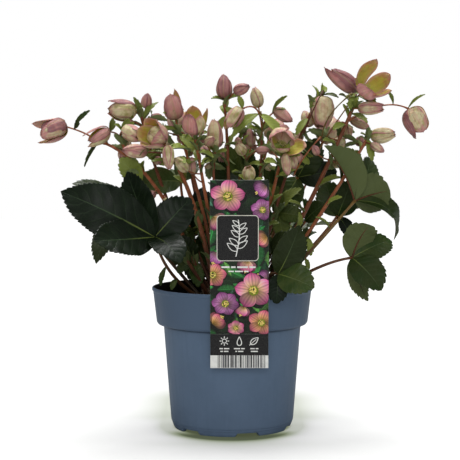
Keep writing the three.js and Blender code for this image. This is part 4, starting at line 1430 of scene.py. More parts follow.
# %% Leaves
LEAVES = {
    "leaf_left_large": {"foot": (-34, -20), "middle": (-70, -52, 188), "hub": (-88, -84, 233),
        "leaflets": [((-191, -100, 287), 60, (-0.1, -0.95, 0.3)), ((-121, -62, 307), 42, (-0.3, -0.9, 0.15)),
            ((-152, -143, 234), 50, (0, -0.85, 0.5)), ((-57, -127, 212), 40, (0.2, -0.7, 0.7)),
            ((-47, -74, 277), 42, (0.1, -0.95, 0.25))]},
    "leaf_left_back": {"foot": (-18, 1), "middle": (-50, 22, 232), "hub": (-62, 24, 292),
        "leaflets": [((-113, 2, 289), 36, (0, -0.8, 0.5)), ((-100, 62, 300), 34, (-0.3, 0.3, 0.9)),
            ((-50, 50, 322), 30, (0.3, 0.4, 0.8))]},
    "leaf_left_far": {"foot": (-37, 3), "middle": (-84, 14, 208), "hub": (-124, 26, 256),
        "leaflets": [((-190, 8, 292), 40, (-0.2, -0.5, 0.9)), ((-160, -44, 202), 34, (-0.4, -0.6, 0.6)),
            ((-168, 78, 262), 44, (-0.3, 0.3, 0.9)), ((-116, 92, 232), 40, (0, 0.5, 0.8))]},
    "leaf_mid_left": {"foot": (-22, 14), "middle": (-32, 34, 190), "hub": (-38, 40, 228),
        "leaflets": [((-36, 24, 284), 40, (0, -0.9, 0.2)), ((-70, 0, 214), 30, (-0.2, 0.5, 0.7)),
            ((-92, 72, 216), 36, (-0.2, 0.4, 0.9)), ((-20, 16, 186), 32, (0.2, -0.9, 0.3))]},
    "leaf_right_upper": {"foot": (38, -22), "middle": (94, -50, 218), "hub": (143, -36, 272),
        "leaflets": [((106, -50, 336), 38, (0.8, 0.6, 0.1)), ((184, -30, 284), 50, (0.1, 0.9, 0.3)),
            ((205, 4, 232), 30, (0.3, -0.6, 0.7)), ((164, 8, 322), 32, (0.6, -0.7, 0.1))]},
    "leaf_right_back": {"foot": (36, 8), "middle": (84, 22, 200), "hub": (128, 34, 250),
        "leaflets": [((143, 16, 294), 36, (0, -0.9, 0.2)), ((112, 36, 292), 36, (-0.2, -0.8, 0.2)),
            ((143, 26, 224), 22, (0.3, -0.5, 0.8)), ((186, 84, 256), 42, (0.3, 0.3, 0.9)),
            ((124, 98, 258), 40, (0, 0.5, 0.8))]},
    "leaf_right_lower": {"foot": (42, -10), "middle": (92, -38, 190), "hub": (139, -44, 206),
        "leaflets": [((158, -54, 246), 42, (-0.4, 0.8, 0.3)), ((190, -22, 228), 34, (0.3, -0.8, 0.5)),
            ((172, -66, 171), 42, (0.2, -0.85, 0.45)), ((158, -30, 154), 24, (-0.5, 0.6, 0.5))]},
    "leaf_front_right": {"foot": (24, -30), "middle": (38, -64, 184), "hub": (52, -86, 191),
        "leaflets": [((76, -96, 247), 38, (0.3, -0.9, 0.2)), ((92, -106, 178), 38, (0.1, -0.95, 0.3)),
            ((50, -93, 158), 24, (0.1, -1, 0.1))]},
    "leaf_right_mid": {"foot": (19, 14), "middle": (52, 38, 232), "hub": (80, 54, 296),
        "leaflets": [((104, 46, 344), 36, (0.2, -0.9, 0.2)), ((128, 50, 304), 34, (0.1, -0.95, 0.25)),
            ((84, 112, 304), 38, (0.1, 0.5, 0.8)), ((54, 32, 250), 38, (0, -0.9, 0.3))]},
    "leaf_back_left": {"foot": (-20, 32), "middle": (-44, 66, 202), "hub": (-66, 92, 240),
        "leaflets": [((-120, 132, 256), 42, (-0.3, 0.3, 0.9)), ((-58, 145, 268), 42, (0, 0.2, 1)),
            ((-26, 136, 232), 38, (0.3, 0.4, 0.9)), ((-70, 66, 188), 34, (0, -0.9, 0.3))]},
    "leaf_back_middle": {"foot": (0, 34), "middle": (2, 70, 228), "hub": (4, 88, 284),
        "leaflets": [((-34, 126, 310), 38, (-0.3, 0.2, 0.9)), ((10, 142, 306), 40, (0, 0.1, 1)),
            ((46, 120, 296), 38, (0.4, 0.2, 0.9)), ((-24, 54, 326), 36, (-0.1, -0.9, 0.3)),
            ((26, 44, 324), 38, (0.2, -0.9, 0.3))]},
    "leaf_back_right": {"foot": (24, 31), "middle": (52, 70, 190), "hub": (78, 98, 224),
        "leaflets": [((130, 132, 234), 42, (0.3, 0.3, 0.9)), ((72, 147, 240), 44, (0, 0.2, 1)),
            ((34, 138, 208), 38, (-0.3, 0.4, 0.9))]},
}

print("leaves:", len(LEAVES))

# %% [markdown]
# ## Leaflets
# A hellebore leaflet is a long, leathery oval with saw teeth that point to the tip. It is folded
# slightly along its midrib, puckered between the side veins and wavy at the edge. A flat plane with a
# picture would look thin from the side, so the leaflet is a grid of points bent by these rules and
# given a real thickness. The outermost column of points makes the teeth, and the puckers follow the
# same rule as the veins in the leaf finish.

# %% Leaflet maker
TEETH_ROWS = 4
LEAFLET_COLUMNS = np.array([-1, -0.93, -0.74, -0.5, -0.28, -0.09, 0, 0.09, 0.28, 0.5, 0.74, 0.93, 1])
YOUNG_COLUMNS = np.array([-1, -0.88, -0.6, -0.25, 0, 0.25, 0.6, 0.88, 1])
BRACT_COLUMNS = np.array([-1, -0.82, -0.42, 0, 0.42, 0.82, 1])
BLADE_ARCH = 0.08
BLADE_FOLD = 0.12
BLADE_THICKNESS = 0.5
BLADE_SHAPE = (0.72, 0.8)
TOOTH_SHAPE = np.array([0.0, 0.45, 0.8, 1.0])


def rising_line(foot, middle, end, shares):
    """The curve of a stem or stalk that rises from the crown. Places are in millimetres."""
    return curve_through(metres([*foot, FOOT_LEVEL]), metres(middle), metres(end), shares)


def add_leaflet(skin, root, tip, width, facing, chance, tone, teeth, curl=0.0, twist=0.0,
                fold=BLADE_FOLD, wave=0.05, tooth_mm=0.9, rib_tone=0.8, shape=BLADE_SHAPE, arch=BLADE_ARCH,
                columns=LEAFLET_COLUMNS, rib_rings=22, slots=(0, 1)):
    """A toothed leaflet from root to tip, all in metres. twist is in degrees at the tip."""
    along = unit(tip - root)
    length = float(np.linalg.norm(tip - root))
    side = unit(np.cross(along, facing))
    up = np.cross(side, along)
    rows = TEETH_ROWS * teeth + 1
    s = np.linspace(0, 1, rows)
    spine = curve_through(root, (root + tip) / 2 + up * length * arch, tip, s)
    spine = spine - up * (curl * length * s ** 3)[:, None]
    breadth = s ** shape[0] * (1 - s) ** shape[1] * (1 - 0.25 * smooth(s, 0.8, 1.0))
    half = width / 2 * breadth / breadth.max()
    half = np.maximum(half, 0.5 * MM * (1 - s) + 0.12 * MM)
    forward = units(np.gradient(spine, axis=0))
    spin = np.radians(twist) * s
    flat = units(np.cross(forward, np.cos(spin)[:, None] * up + np.sin(spin)[:, None] * side))
    rise = np.cross(flat, forward)
    phase = [chance.uniform(0, 6.28) for _ in range(4)]
    points = np.zeros((rows, len(columns), 3))
    places = np.zeros((rows, len(columns), 2))
    bite = TOOTH_SHAPE[np.arange(rows) % TEETH_ROWS] * smooth(s, 0.25, 0.5) * smooth(1 - s, 0.0, 0.08)
    pucker_mm = 0.005 * width / MM
    for c, t in enumerate(columns):
        reach = half * abs(t)
        ahead = np.zeros(rows)
        if abs(t) == 1:
            reach = reach + tooth_mm * MM * (bite - 0.35)
            ahead = bite * length / (teeth * 2.6)
        vein = (s - VEIN_SLANT * abs(t) ** VEIN_BEND) * VEIN_COUNT + (VEIN_OFFSET if t > 0 else 0.0)
        swell = np.sin(np.pi * vein) ** 2 * pucker_mm * MM * math.sin(math.pi * min(1, abs(t) * 1.1)) ** 0.7
        swell = swell * smooth(s, 0.04, 0.2) * smooth(1 - s, 0.0, 0.2)
        bend = fold * half * abs(t) ** 1.4 * 1.25
        long_wave, short_wave = phase[0::2] if t < 0 else phase[1::2]
        waves = np.sin(s * 13 + long_wave) + 0.5 * np.sin(s * 27 + short_wave)
        lift = bend + wave * half * abs(t) ** 2.2 * waves + swell
        points[:, c] = (spine + flat * (math.copysign(1, t) * reach)[:, None] + rise * lift[:, None]
                        + forward * ahead[:, None])
        places[:, c, 0] = 0.5 + t / 2
        places[:, c, 1] = s
    thick = BLADE_THICKNESS * MM * (1 - 0.45 * np.abs(columns)) * np.ones((rows, 1))
    add_sheet(skin, points, thick, places, slots[0], tone=tone)
    rib = np.linspace(0, int(rows * 0.93), rib_rings).astype(int)
    rib_radius = np.linspace(1.15, 0.22, rib_rings) * MM * min(1.0, (width / MM + 6) / 36)
    sunk = (rib_radius - 0.2 * MM)[:, None]
    add_tube(skin, spine[rib] - rise[rib] * sunk, rib_radius, 8, slots[1], tone=rib_tone)


print("leaflet maker is ready")

# %% [markdown]
# Each leaf is its own child of chance: tone, curl and twist vary a little, and a few leaves that stand
# out get values of their own: `tone` and `rib` for the whole leaf, `curls` and `folds` for each of its
# leaflets, and `tones`, `shapes` and `arches` for single ones by number. The stalk swells at its foot
# and where the leaflets join.

# %% Grow the leaves
STALK_RINGS = 30
TOOTH_SPACING = 4.6
LEAF_HABITS = {
    "leaf_left_large": {"tone": 0.0, "tones": {0: 0.0}, "curls": (0.12, 0.02, 0.02, 0.1, 0.02),
        "arches": {2: -0.02}},
    "leaf_left_back": {"tone": 0.22},
    "leaf_left_far": {"tone": 0.04},
    "leaf_mid_left": {"tone": 0.03},
    "leaf_right_upper": {"tone": 0.06, "curls": (0.0, 0.04, 0.2, 0.02), "rib": 0.12,
        "folds": (0.8, 0.1, 0.3, 0.3), "shapes": {1: (0.62, 0.5)}, "arches": {2: 0.2}},
    "leaf_right_back": {"tone": 0.02, "tones": {0: 0.09, 1: 0.14}},
    "leaf_right_lower": {"tone": 0.04, "curls": (0.05, 0.16, 0.04, 0.06), "rib": 0.2,
        "shapes": {0: (0.62, 0.5)}, "tones": {1: 0.13, 2: 0.09}},
    # Leaflet 1 of leaf_front_right faces up and gets a paler tone: painted light for the light it catches.
    "leaf_front_right": {"tone": 0.02, "tones": {0: 0.05, 1: 0.2}},
    "leaf_right_mid": {"tone": 0.06, "tones": {1: 0.02, 3: 0.2}},
}


def swelling(s, place, height, reach):
    """A smooth swelling of a stalk at a share of its length."""
    return height * np.exp(-((s - place) / reach) ** 2)


def stalk_radii(count, foot, end):
    s = np.linspace(0, 1, count)
    return (foot + (end - foot) * s + swelling(s, 1, 0.8, 0.03) + swelling(s, 0, 0.9, 0.04)) * MM


def clamp(value, low, high):
    return min(high, max(low, value))


for name, leaf in LEAVES.items():
    chance = random.Random(name)
    habit = LEAF_HABITS.get(name, {})
    tone = habit.get("tone", chance.uniform(0.02, 0.16))
    skin = Skin()
    hub = metres(leaf["hub"])
    line = rising_line(leaf["foot"], leaf["middle"], leaf["hub"], np.linspace(0, 1, STALK_RINGS))
    add_tube(skin, line, stalk_radii(STALK_RINGS, 2.3, 1.5), 12, 1, tone=chance.uniform(0.6, 0.85))
    for number, (tip, width, facing) in enumerate(leaf["leaflets"]):
        curl = habit["curls"][number] if "curls" in habit else chance.uniform(0.0, 0.08)
        own_tone = clamp(tone + chance.uniform(-0.04, 0.06), 0, 1)
        twist = chance.uniform(-14, 14)
        long = float(np.linalg.norm(metres(tip) - hub)) / MM
        add_leaflet(skin, hub, metres(tip), width * MM, np.array(facing, float), chance,
                    tone=habit.get("tones", {}).get(number, own_tone),
                    teeth=max(8, int(long / TOOTH_SPACING)), curl=curl, twist=twist,
                    rib_tone=habit.get("rib", 0.75),
                    fold=habit.get("folds", (BLADE_FOLD,) * 5)[number],
                    shape=habit.get("shapes", {}).get(number, BLADE_SHAPE),
                    arch=habit.get("arches", {}).get(number, BLADE_ARCH))
    settle(skin.make(name + "_blades", [leaf_finish, stem_finish]), "leaf", name)
print("leaves grown:", len(LEAVES))

# %% [markdown]
# Young leaves stand low among the stems and make the plant's middle dense. They are fine detail, so
# they stand for no CAD node. Those low in the shade are darker, and `YOUNG_SHADE` is the height where
# they start and stop to brighten. A row of the table is foot, middle, hub and (tip, width) for each
# leaflet. All are in millimetres.

# %% Young leaves in the middle
YOUNG_RINGS = 16
YOUNG_TONES = (0.08, 0.18, 0.3, 0.5)
YOUNG_FACING = np.array([0.0, -0.7, 0.6])
YOUNG_SHADE = (205, 250)
YOUNG_LEAVES = [
    [(-12, 6), (-28, 16, 185), (-44, 20, 214), ((-66, 4, 240), 24), ((-72, 22, 206), 22),
     ((-52, 6, 176), 20)],
    [(-20, -6), (-34, -4, 178), (-46, -8, 198), ((-58, -24, 230), 22), ((-66, -8, 186), 20),
     ((-40, -26, 170), 18)],
    [(-8, 15), (-18, 26, 200), (-26, 30, 240), ((-44, 16, 268), 26), ((-48, 30, 230), 22),
     ((-12, 16, 266), 24)],
    [(-14, 18), (-40, 32, 190), (-60, 34, 230), ((-78, 22, 258), 26), ((-84, 40, 222), 24),
     ((-58, 20, 200), 22)],
    [(14, 13), (36, 22, 210), (56, 28, 254), ((80, 18, 286), 26), ((86, 24, 250), 24), ((44, 12, 290), 24),
     ((60, 14, 222), 22)],
    [(20, 3), (36, 8, 180), (48, 12, 200), ((70, 2, 206), 20), ((36, -2, 232), 18)],
    [(12, -6), (34, -14, 180), (44, -20, 206), ((62, -34, 236), 20), ((68, -24, 194), 18)],
    [(26, 12), (60, 24, 200), (88, 28, 244), ((112, 16, 266), 26), ((84, 14, 272), 22)],
    [(0, 20), (2, 40, 190), (4, 48, 238), ((-18, 60, 266), 26), ((26, 62, 262), 26), ((4, 34, 276), 26)],
    [(2, 8), (4, 6, 210), (6, 0, 256), ((-14, -16, 286), 24), ((26, -14, 284), 24), ((8, -20, 252), 22)],
    [(-4, 24), (-20, 52, 190), (-30, 62, 226), ((-54, 72, 248), 26), ((-24, 88, 240), 24),
     ((-38, 50, 258), 24)],
    [(14, 24), (34, 50, 190), (46, 60, 226), ((70, 66, 250), 26), ((44, 86, 240), 24), ((38, 50, 262), 24)],
    [(5, 14), (7, 28, 230), (9, 32, 298), ((-4, 22, 334), 22), ((24, 26, 332), 22), ((9, 14, 322), 18)],
    [(19, 16), (36, 34, 222), (46, 38, 280), ((66, 30, 312), 24), ((38, 26, 318), 22), ((60, 28, 288), 20)],
]
skin = Skin()
chance = random.Random("young")
for foot, middle, hub, *blades in YOUNG_LEAVES:
    line = rising_line(foot, middle, hub, np.linspace(0, 1, YOUNG_RINGS))
    add_tube(skin, line, stalk_radii(YOUNG_RINGS, 1.7, 1.1), 9, 1, tone=chance.uniform(0.3, 0.9))
    in_light = 0.3 + 0.7 * smooth(hub[2], *YOUNG_SHADE)
    for tip, width in blades:
        facing = YOUNG_FACING + np.array([chance.uniform(-0.3, 0.3) for _ in range(3)])
        tone = chance.choice(YOUNG_TONES) * in_light
        curl = chance.uniform(0, 0.12)
        twist = chance.uniform(-20, 20)
        add_leaflet(skin, metres(hub), metres(tip), width * MM, facing, chance, tone=tone, teeth=8,
                    curl=curl, twist=twist, columns=YOUNG_COLUMNS, rib_rings=14)
settle(skin.make("young_leaves", [leaf_finish, stem_finish]), "leaf")
print("young leaves:", len(YOUNG_LEAVES))

# %% [markdown]
# ## Tepals
# Five tepals overlap in a spiral, two outside, two inside and one half in, half out. Each is a broad
# rounded sheet that follows a turned outline, closed for a bud and wide for an open flower. Between the
# four outlines the shape is mixed by openness, 0 for a bud to 1 for an open flower and 1.5 for a tepal
# that is thrown back. The sheet curls in across its width, so that the flower cups, and ends in a
# small point.

# %% Tepal maker
OPEN_STEPS = [0.0, 0.5, 1.0, 1.5]
OUTLINES = np.array([
    [(0.05, 0.0), (0.70, 0.06), (0.62, 0.80), (0.02, 1.0)],
    [(0.05, 0.0), (0.68, 0.02), (0.56, 0.66), (0.36, 1.0)],
    [(0.05, 0.0), (0.40, -0.03), (0.48, 0.56), (0.56, 0.94)],
    [(0.05, 0.0), (0.40, -0.02), (0.70, 0.22), (0.92, 0.52)],
])
TEPAL_BREADTHS = [0.46, 0.44, 0.37, 0.36]
TEPAL_THICKNESS = 0.5
NECTARIES, STAMENS, CARPELS = 12, 34, 4
STAMEN_TURN = 2.39996
TEPAL_POINT = 0.042
TEPAL_S = 1 - (1 - np.linspace(0, 1, 18)) ** 1.35
TEPAL_T = np.array([-1, -0.88, -0.66, -0.42, -0.16, 0, 0.16, 0.42, 0.66, 0.88, 1])
BUD_S = 1 - (1 - np.linspace(0, 1, 13)) ** 1.35
BUD_T = np.array([-1, -0.72, -0.36, 0, 0.36, 0.72, 1])
CLOSED = 0.05


def outline_at(openness):
    """The four control points of a tepal's outline at this openness."""
    parts = [[np.interp(openness, OPEN_STEPS, OUTLINES[:, i, j]) for j in range(2)] for i in range(4)]
    return np.array(parts)


def add_tepal(skin, base, axis, length, width, heading, beside, openness, offset, tone, blush, chance, slot,
              slim=1.0, sharp=TEPAL_POINT, rows=TEPAL_S, columns=TEPAL_T):
    """One tepal on the side of the flower where heading points. beside is square to both."""
    control = outline_at(openness)
    s = rows[:, None]
    line = ((1 - s) ** 3 * control[0] + 3 * s * (1 - s) ** 2 * control[1]
            + 3 * s ** 2 * (1 - s) * control[2] + s ** 3 * control[3])
    radius = line[:, 0] * width + offset
    height = line[:, 1] * length
    round_tip = (1 - rows ** 2.9) ** 0.74
    g = (rows + 0.03) ** 0.55 * round_tip
    half = np.interp(openness, OPEN_STEPS, TEPAL_BREADTHS) * width * slim * g / g.max()
    half = np.maximum(half, 0.015 * width)
    cup = np.clip(radius, 0.24 * width, 0.44 * width)
    phase = chance.uniform(0, 6.28)
    lean = chance.uniform(-0.035, 0.035) * width
    points = np.zeros((len(rows), len(columns), 3))
    places = np.zeros((len(rows), len(columns), 2))
    for c, t in enumerate(columns):
        turn = np.clip(t * half / cup, -1.9, 1.9)
        edge = abs(t) ** 3 * 0.022 * width * np.sin(rows * 9 + phase + 2 * t)
        edge = edge + 0.016 * width * np.sin(rows * 7 + 3.4 * t + phase) * smooth(rows, 0.1, 0.5)
        keel = 0.016 * width * math.exp(-(t / 0.14) ** 2) * smooth(rows, 0.1, 0.6)
        seam = 0.008 * width * math.exp(-((abs(t) - 0.5) / 0.12) ** 2) * smooth(rows, 0.2, 0.7)
        out = radius - cup * (1 - np.cos(turn)) + edge + keel - seam + abs(t) * 0.02 * width
        point = sharp * length * math.exp(-(t / 0.35) ** 2) * smooth(rows, 0.86, 1.0)
        points[:, c] = (base + axis * (height + point)[:, None] + heading * out[:, None]
                        + beside * (cup * np.sin(turn) + lean * rows ** 2)[:, None])
        places[:, c, 0] = 0.5 + t / 2
        places[:, c, 1] = rows
    thick = TEPAL_THICKNESS * MM * (1 - 0.5 * np.abs(columns)) * np.ones((len(rows), 1))
    add_sheet(skin, points, thick, places, slot, tone=tone, blush=blush)


print("tepal maker is ready")

# %% Flower maker
def spoke(first, second, angle):
    """The direction at this angle between two directions that are square to each other."""
    return math.cos(angle) * first + math.sin(angle) * second


def plain_look(blush, openness=CLOSED, **more):
    """A look for a bud, or for a plain cup if it is more open."""
    return {"open": (openness,) * 5, "blush": (blush,) * 5, **more}


def add_flower(skin, base, tip, width, look, chance, slots=(0, 2), grid=(TEPAL_S, TEPAL_T)):
    """Five tepals from base to tip. The look gives each one's openness, size, slimness and blush.

    Tepal 0 lies on the side where `lead` points, and the rest follow at 72 degrees. A `ball` is a
    closed inner bud, and the heart shows where there is none and the flower is open enough.
    """
    axis = unit(tip - base)
    length = float(np.linalg.norm(tip - base))
    lead = look.get("lead") or [chance.uniform(-1, 1) for _ in range(3)]
    guide = np.array(lead, float)
    first = unit(guide - axis * guide.dot(axis))
    second = np.cross(axis, first)
    width = width * look.get("girth", 1.0)
    for rank in range(5):
        number = 2 * rank % 5
        angle = math.radians(72 * number + (chance.uniform(-5, 5) if rank else 0))
        heading = spoke(first, second, angle)
        openness = clamp(look["open"][number] + chance.uniform(-0.03, 0.03), 0.0, 1.5)
        size = look.get("size", (1,) * 5)[number]
        slim = look.get("slim", (1,) * 5)[number]
        long = length * size * chance.uniform(0.96, 1.03)
        tone = look.get("pale", (0.2,) * 5)[number] + chance.uniform(0, 0.12)
        blush = clamp(look["blush"][number] + chance.uniform(-0.08, 0.08), 0.0, 1.3)
        add_tepal(skin, base, axis, long, width * min(1.0, size ** 0.5), heading, np.cross(axis, heading),
                  openness, (2 - rank) * 0.022 * width, tone, blush, chance, slots[0], slim,
                  look.get("sharp", TEPAL_POINT), *grid)
    if "ball" in look:
        share, blush = look["ball"]
        start, end = base + axis * 0.06 * length, base + axis * length * share * 1.1
        add_flower(skin, start, end, width * share, plain_look(blush), chance, slots)
    elif max(look["open"]) >= 0.6:
        add_heart(skin, base, axis, first, second, length, width, chance, slots[1])


def add_heart(skin, base, axis, first, second, length, width, chance, slot):
    """Nectaries, stamens and carpels in the middle of an open flower."""
    for count, steps, radii, sides, tone in (
            (NECTARIES, ((0.07, 0.03), (0.12, 0.08), (0.14, 0.14)), (0.6, 1.0, 1.15), 7, 0.05),
            (CARPELS, ((0.0, 0.0), (0.02, 0.2), (0.035, 0.36)), (1.0, 0.7, 0.25), 8, 0.2)):
        for number in range(count):
            out = spoke(first, second, 2 * math.pi * number / count)
            line = [base + out * reach * width + axis * rise * length for reach, rise in steps]
            add_tube(skin, line, np.array(radii) * MM, sides, slot, tone=tone)
    for number in range(STAMENS):
        lean = chance.uniform(0.02, 0.13) * width
        tall = chance.uniform(0.16, 0.3) * length
        out = spoke(first, second, STAMEN_TURN * number)
        foot = base + out * 0.03 * width
        top = foot + out * lean + axis * tall
        middle = (foot + top) / 2 - out * 0.02 * width
        line = curve_through(foot, middle, top, np.linspace(0, 1, 5))
        add_tube(skin, line, 0.16 * MM, 5, slot, tone=0.7)
        anther = [top + axis * step * MM for step in (-0.5, 0.0, 0.7, 1.2)]
        add_tube(skin, anther, np.array([0.25, 0.55, 0.5, 0.2]) * MM, 6, slot, tone=0.8)


print("flower maker is ready")

# %% [markdown]
# ## Stalks, bracts and flowers
# A flower's stalk leaves its stem, nods or rises, and thickens under the flower. Small leafy bracts grow
# from the stalks. Each bract's root is moved to the nearest point of the stalk that carries it, so it
# is seated from every side.

# %% Stalks and bracts
def stem_line(stem, shares):
    return rising_line(stem["foot"], stem["middle"], stem["top"], shares)


def stalk_line(start, base, tip, via=None, count=16):
    """The curve of a flower's stalk, which ends just inside the flower."""
    leaving = unit(base - tip)
    middle = via if via is not None else (start + base) / 2 + leaving * 1.5 * MM
    return curve_through(start, middle, base + (tip - base) * 0.1, np.linspace(0, 1, count))


def add_stalk(skin, line, slot, tone, thick=1.15):
    s = np.linspace(0, 1, len(line))
    radii = (thick * (1 - 0.25 * s) + swelling(s, 1, 0.75, 0.09)) * MM
    add_tube(skin, line, radii, 9, slot, tone=tone)


def add_bract(skin, line, root, tip, width, tone, chance, slots, facing=(0, -0.55, 0.85), curl=0.0):
    """A small leaf whose root is moved to the nearest point of the line that carries it."""
    gaps = np.linalg.norm(line - root, axis=1)
    seat = line[int(gaps.argmin())]
    along = unit(tip - seat)
    facing = np.array(facing, float)
    if abs(along.dot(unit(facing))) > 0.93:
        facing = facing + np.array([0.7, -0.5, -0.4])
    add_leaflet(skin, seat, tip, width * MM, facing, chance, tone=tone, teeth=6, curl=curl,
                twist=chance.uniform(-25, 25), fold=0.4, wave=0.06, tooth_mm=0.5, rib_tone=0.95,
                shape=(0.9, 0.85), columns=BRACT_COLUMNS, rib_rings=10, slots=slots)


def add_ruff(skin, line, count, shares, lengths, widths, tones, splay, chance, slots):
    """Small leaves at random places of a line. Shares to splay are (least, most), sizes in millimetres."""
    for _ in range(count):
        place = int(len(line) * chance.uniform(*shares))
        place = min(len(line) - 2, max(1, place))
        ahead = unit(line[place + 1] - line[place - 1])
        out = np.array([chance.uniform(-1, 1), chance.uniform(-1, 1), chance.uniform(-0.3, 0.6)])
        out = unit(out - ahead * out.dot(ahead))
        end = line[place] + (ahead + out * chance.uniform(*splay)) * chance.uniform(*lengths) * MM
        facing = unit(ahead - out * 0.6 + np.array([0, -0.3, 0.4]))
        width = chance.uniform(*widths)
        tone = chance.uniform(*tones)
        curl = chance.uniform(-0.1, 0.15)
        add_bract(skin, line, line[place], end, width, tone, chance, slots, facing, curl)


print("stalks and bracts are ready")

# %% [markdown]
# Each flower has a look. `open`, `blush`, `size`, `slim` and `pale` have a number for each tepal, and
# tepal 0 lies where `lead` points. `girth` widens the whole flower, `sharp` is the tepals' point and
# `stalk` is the stalk's tone. `ball` is the closed bud inside an opening flower: its size and its blush.

# %% Looks of the flowers
FLOWER_LOOKS = {
    "flower_01": {"lead": [-0.3, 0.5, 1.0], "open": (0.95, 0.5, 0.42, 0.3, 0.28),
        "blush": (0.5, 0.8, 0.7, 0.45, 1.0), "size": (1.0, 0.8, 1.0, 0.9, 0.86),
        "pale": (1.0, 0.5, 0.3, 0.3, 0.3), "stalk": 0.6, "slim": (1.2, 1, 0.9, 1.3, 1.35), "girth": 0.94,
        "sharp": 0.03},
    "flower_02": {"lead": [-0.2, -0.1, 0.9], "open": (0.75, 0.4, 0.3, 0.32, 0.4),
        "blush": (0.75, 0.7, 0.4, 0.3, 0.7), "size": (1.1, 0.9, 0.95, 1.1, 1.0),
        "slim": (0.6, 0.7, 0.65, 0.72, 0.6), "girth": 0.86},
    "flower_03": {"lead": [-0.4, -0.9, 0.5], "open": (0.25, 0.35, 0.25, 0.3, 0.5),
        "blush": (0.3, 0.5, 0.2, 0.4, 0.8), "size": (0.9, 0.95, 1.05, 0.9, 1.0), "girth": 0.94},
    "flower_04": {"lead": [0.1, -0.1, 1.0], "open": (0.6, 0.3, 0.25, 0.18, 0.16),
        "blush": (1.1, 0.8, 0.3, 0.15, 0.32), "size": (1.0, 0.95, 0.95, 0.95, 1.0),
        "pale": (0.4, 0.3, 0.1, 0.1, 0.1)},
    "flower_05": {"lead": [-0.3, 0.2, 0.9], "open": (0.92, 0.9, 0.86, 0.86, 0.9),
        "blush": (0.9, 0.7, 0.5, 0.5, 0.5), "size": (0.86, 0.92, 0.9, 0.9, 0.86),
        "pale": (0.2, 0.1, 0.0, 0.0, 0.1), "ball": (0.66, 0.0), "slim": (1.25, 1.25, 1.25, 1.25, 1.25),
        "sharp": 0.01},
    "flower_06": plain_look(0.62),
    "flower_07": plain_look(0.4),
    "flower_08": {"lead": [0.05, -1, 0.1], "open": (0.3, 0.45, 0.75, 0.5, 0.4),
        "blush": (0.7, 0.8, 0.7, 0.6, 0.8), "size": (1.0, 0.8, 1.1, 0.85, 0.8),
        "slim": (1.15, 0.9, 0.55, 0.9, 0.9)},
    "flower_09": {"lead": [-0.1, 1, 0], "open": (0.72, 0.6, 0.5, 0.6, 0.95),
        "blush": (0.5, 0.7, 0.8, 0.4, 0.7), "size": (1.05, 0.9, 1.0, 0.86, 1.05),
        "pale": (0.1, 0.3, 0.3, 0.2, 0.2), "slim": (1, 0.95, 0.95, 0.95, 0.75)},
    "flower_10": {"lead": [-0.2, -1, 0], "open": (0.1, 0.3, 0.3, 0.2, 0.15),
        "blush": (0.45, 0.8, 0.6, 0.4, 0.3), "size": (1.0, 0.9, 0.85, 0.9, 0.95)},
    "flower_11": plain_look(1.0, lead=[-0.1, -1, 0]),
    "flower_12": {"lead": [-0.2, -1, 0.1], "open": (0.3, 0.6, 0.5, 0.3, 0.7),
        "blush": (0.35, 0.6, 0.6, 0.2, 0.8), "size": (1.1, 0.95, 1.1, 0.95, 0.9),
        "slim": (0.8, 0.7, 0.75, 0.8, 0.6)},
    "flower_13": plain_look(0.72, lead=[0, -1, 0.2]),
    "flower_14": {"lead": [0.9, -0.4, -0.3], "open": (1.4, 0.3, 0.12, 0.75, 0.8),
        "blush": (0.8, 0.5, 0.45, 0.4, 0.3), "size": (1.15, 0.9, 0.95, 0.78, 0.72),
        "pale": (0.05, 0.9, 0.9, 0.1, 0.1), "slim": (1.25, 1, 1.1, 1.2, 1.2)},
    "flower_15": plain_look(0.42, lead=[0, -1, 0], girth=0.8),
    "flower_16": {"lead": [0, -1, 0], "open": (0.3, 0.2, 0.2, 0.2, 0.3), "blush": (0.2, 0.1, 0.1, 0.1, 0.3)},
    "flower_17": plain_look(0.42, 0.26, pale=(0.5,) * 5, lead=[0.2, -1, 0], size=(1, 0.94, 1, 0.97, 1),
        slim=(1.25, 1, 1, 1, 1.1), sharp=0.02),
    "flower_18": {"lead": [-0.24, 0.52, 0.82], "open": (0.8, 1.3, 0.62, 0.9, 0.8),
        "blush": (1.0, 0.9, 0.7, 0.7, 0.95), "size": (1.04, 0.4, 0.56, 1.0, 1.0),
        "pale": (0.3, 0.2, 0.5, 0.1, 0.2), "slim": (0.72, 0.9, 1.3, 0.8, 0.68), "sharp": 0.02},
    "flower_19": {"lead": [-0.7, -0.6, -0.5], "open": (0.24, 0.08, 0.05, 0.05, 0.08),
        "blush": (0.9, 1.3, 1.2, 1.1, 1.3), "size": (1.16, 1, 0.95, 0.95, 1),
        "slim": (0.95, 1.1, 1, 1, 1.1)},
    "flower_20": {"lead": [0, -0.4, 1], "open": (0.3, 0.3, 0.3, 0.4, 0.4),
        "blush": (0.6, 0.5, 0.45, 0.5, 0.6), "sharp": 0.02, "pale": (0.7,) * 5,
        "slim": (1, 0.9, 0.8, 0.8, 0.9)},
    "flower_21": {"lead": [-0.95, -0.25, -0.3], "open": (0.5, 0.3, 0.3, 0.25, 0.25),
        "blush": (1.0, 0.8, 0.4, 0.5, 0.42), "size": (1.08, 0.95, 0.95, 1.0, 1.0),
        "pale": (0.4, 0.3, 0.2, 0.2, 0.2), "sharp": 0.02},
    "flower_22": {"lead": [0, -0.5, 0.9], "open": (0.15, 0.1, 0.15, 0.2, 0.15),
        "blush": (0.4, 0.15, 0.1, 0.5, 0.9), "sharp": 0.02},
    "flower_23": plain_look(0.6, 0.35),
    "flower_24": plain_look(0.7),
    "flower_25": plain_look(0.5, 0.8),
    "flower_26": plain_look(0.6, 0.3),
    "flower_27": plain_look(0.5, 0.4),
}
print("looks:", len(FLOWER_LOOKS))

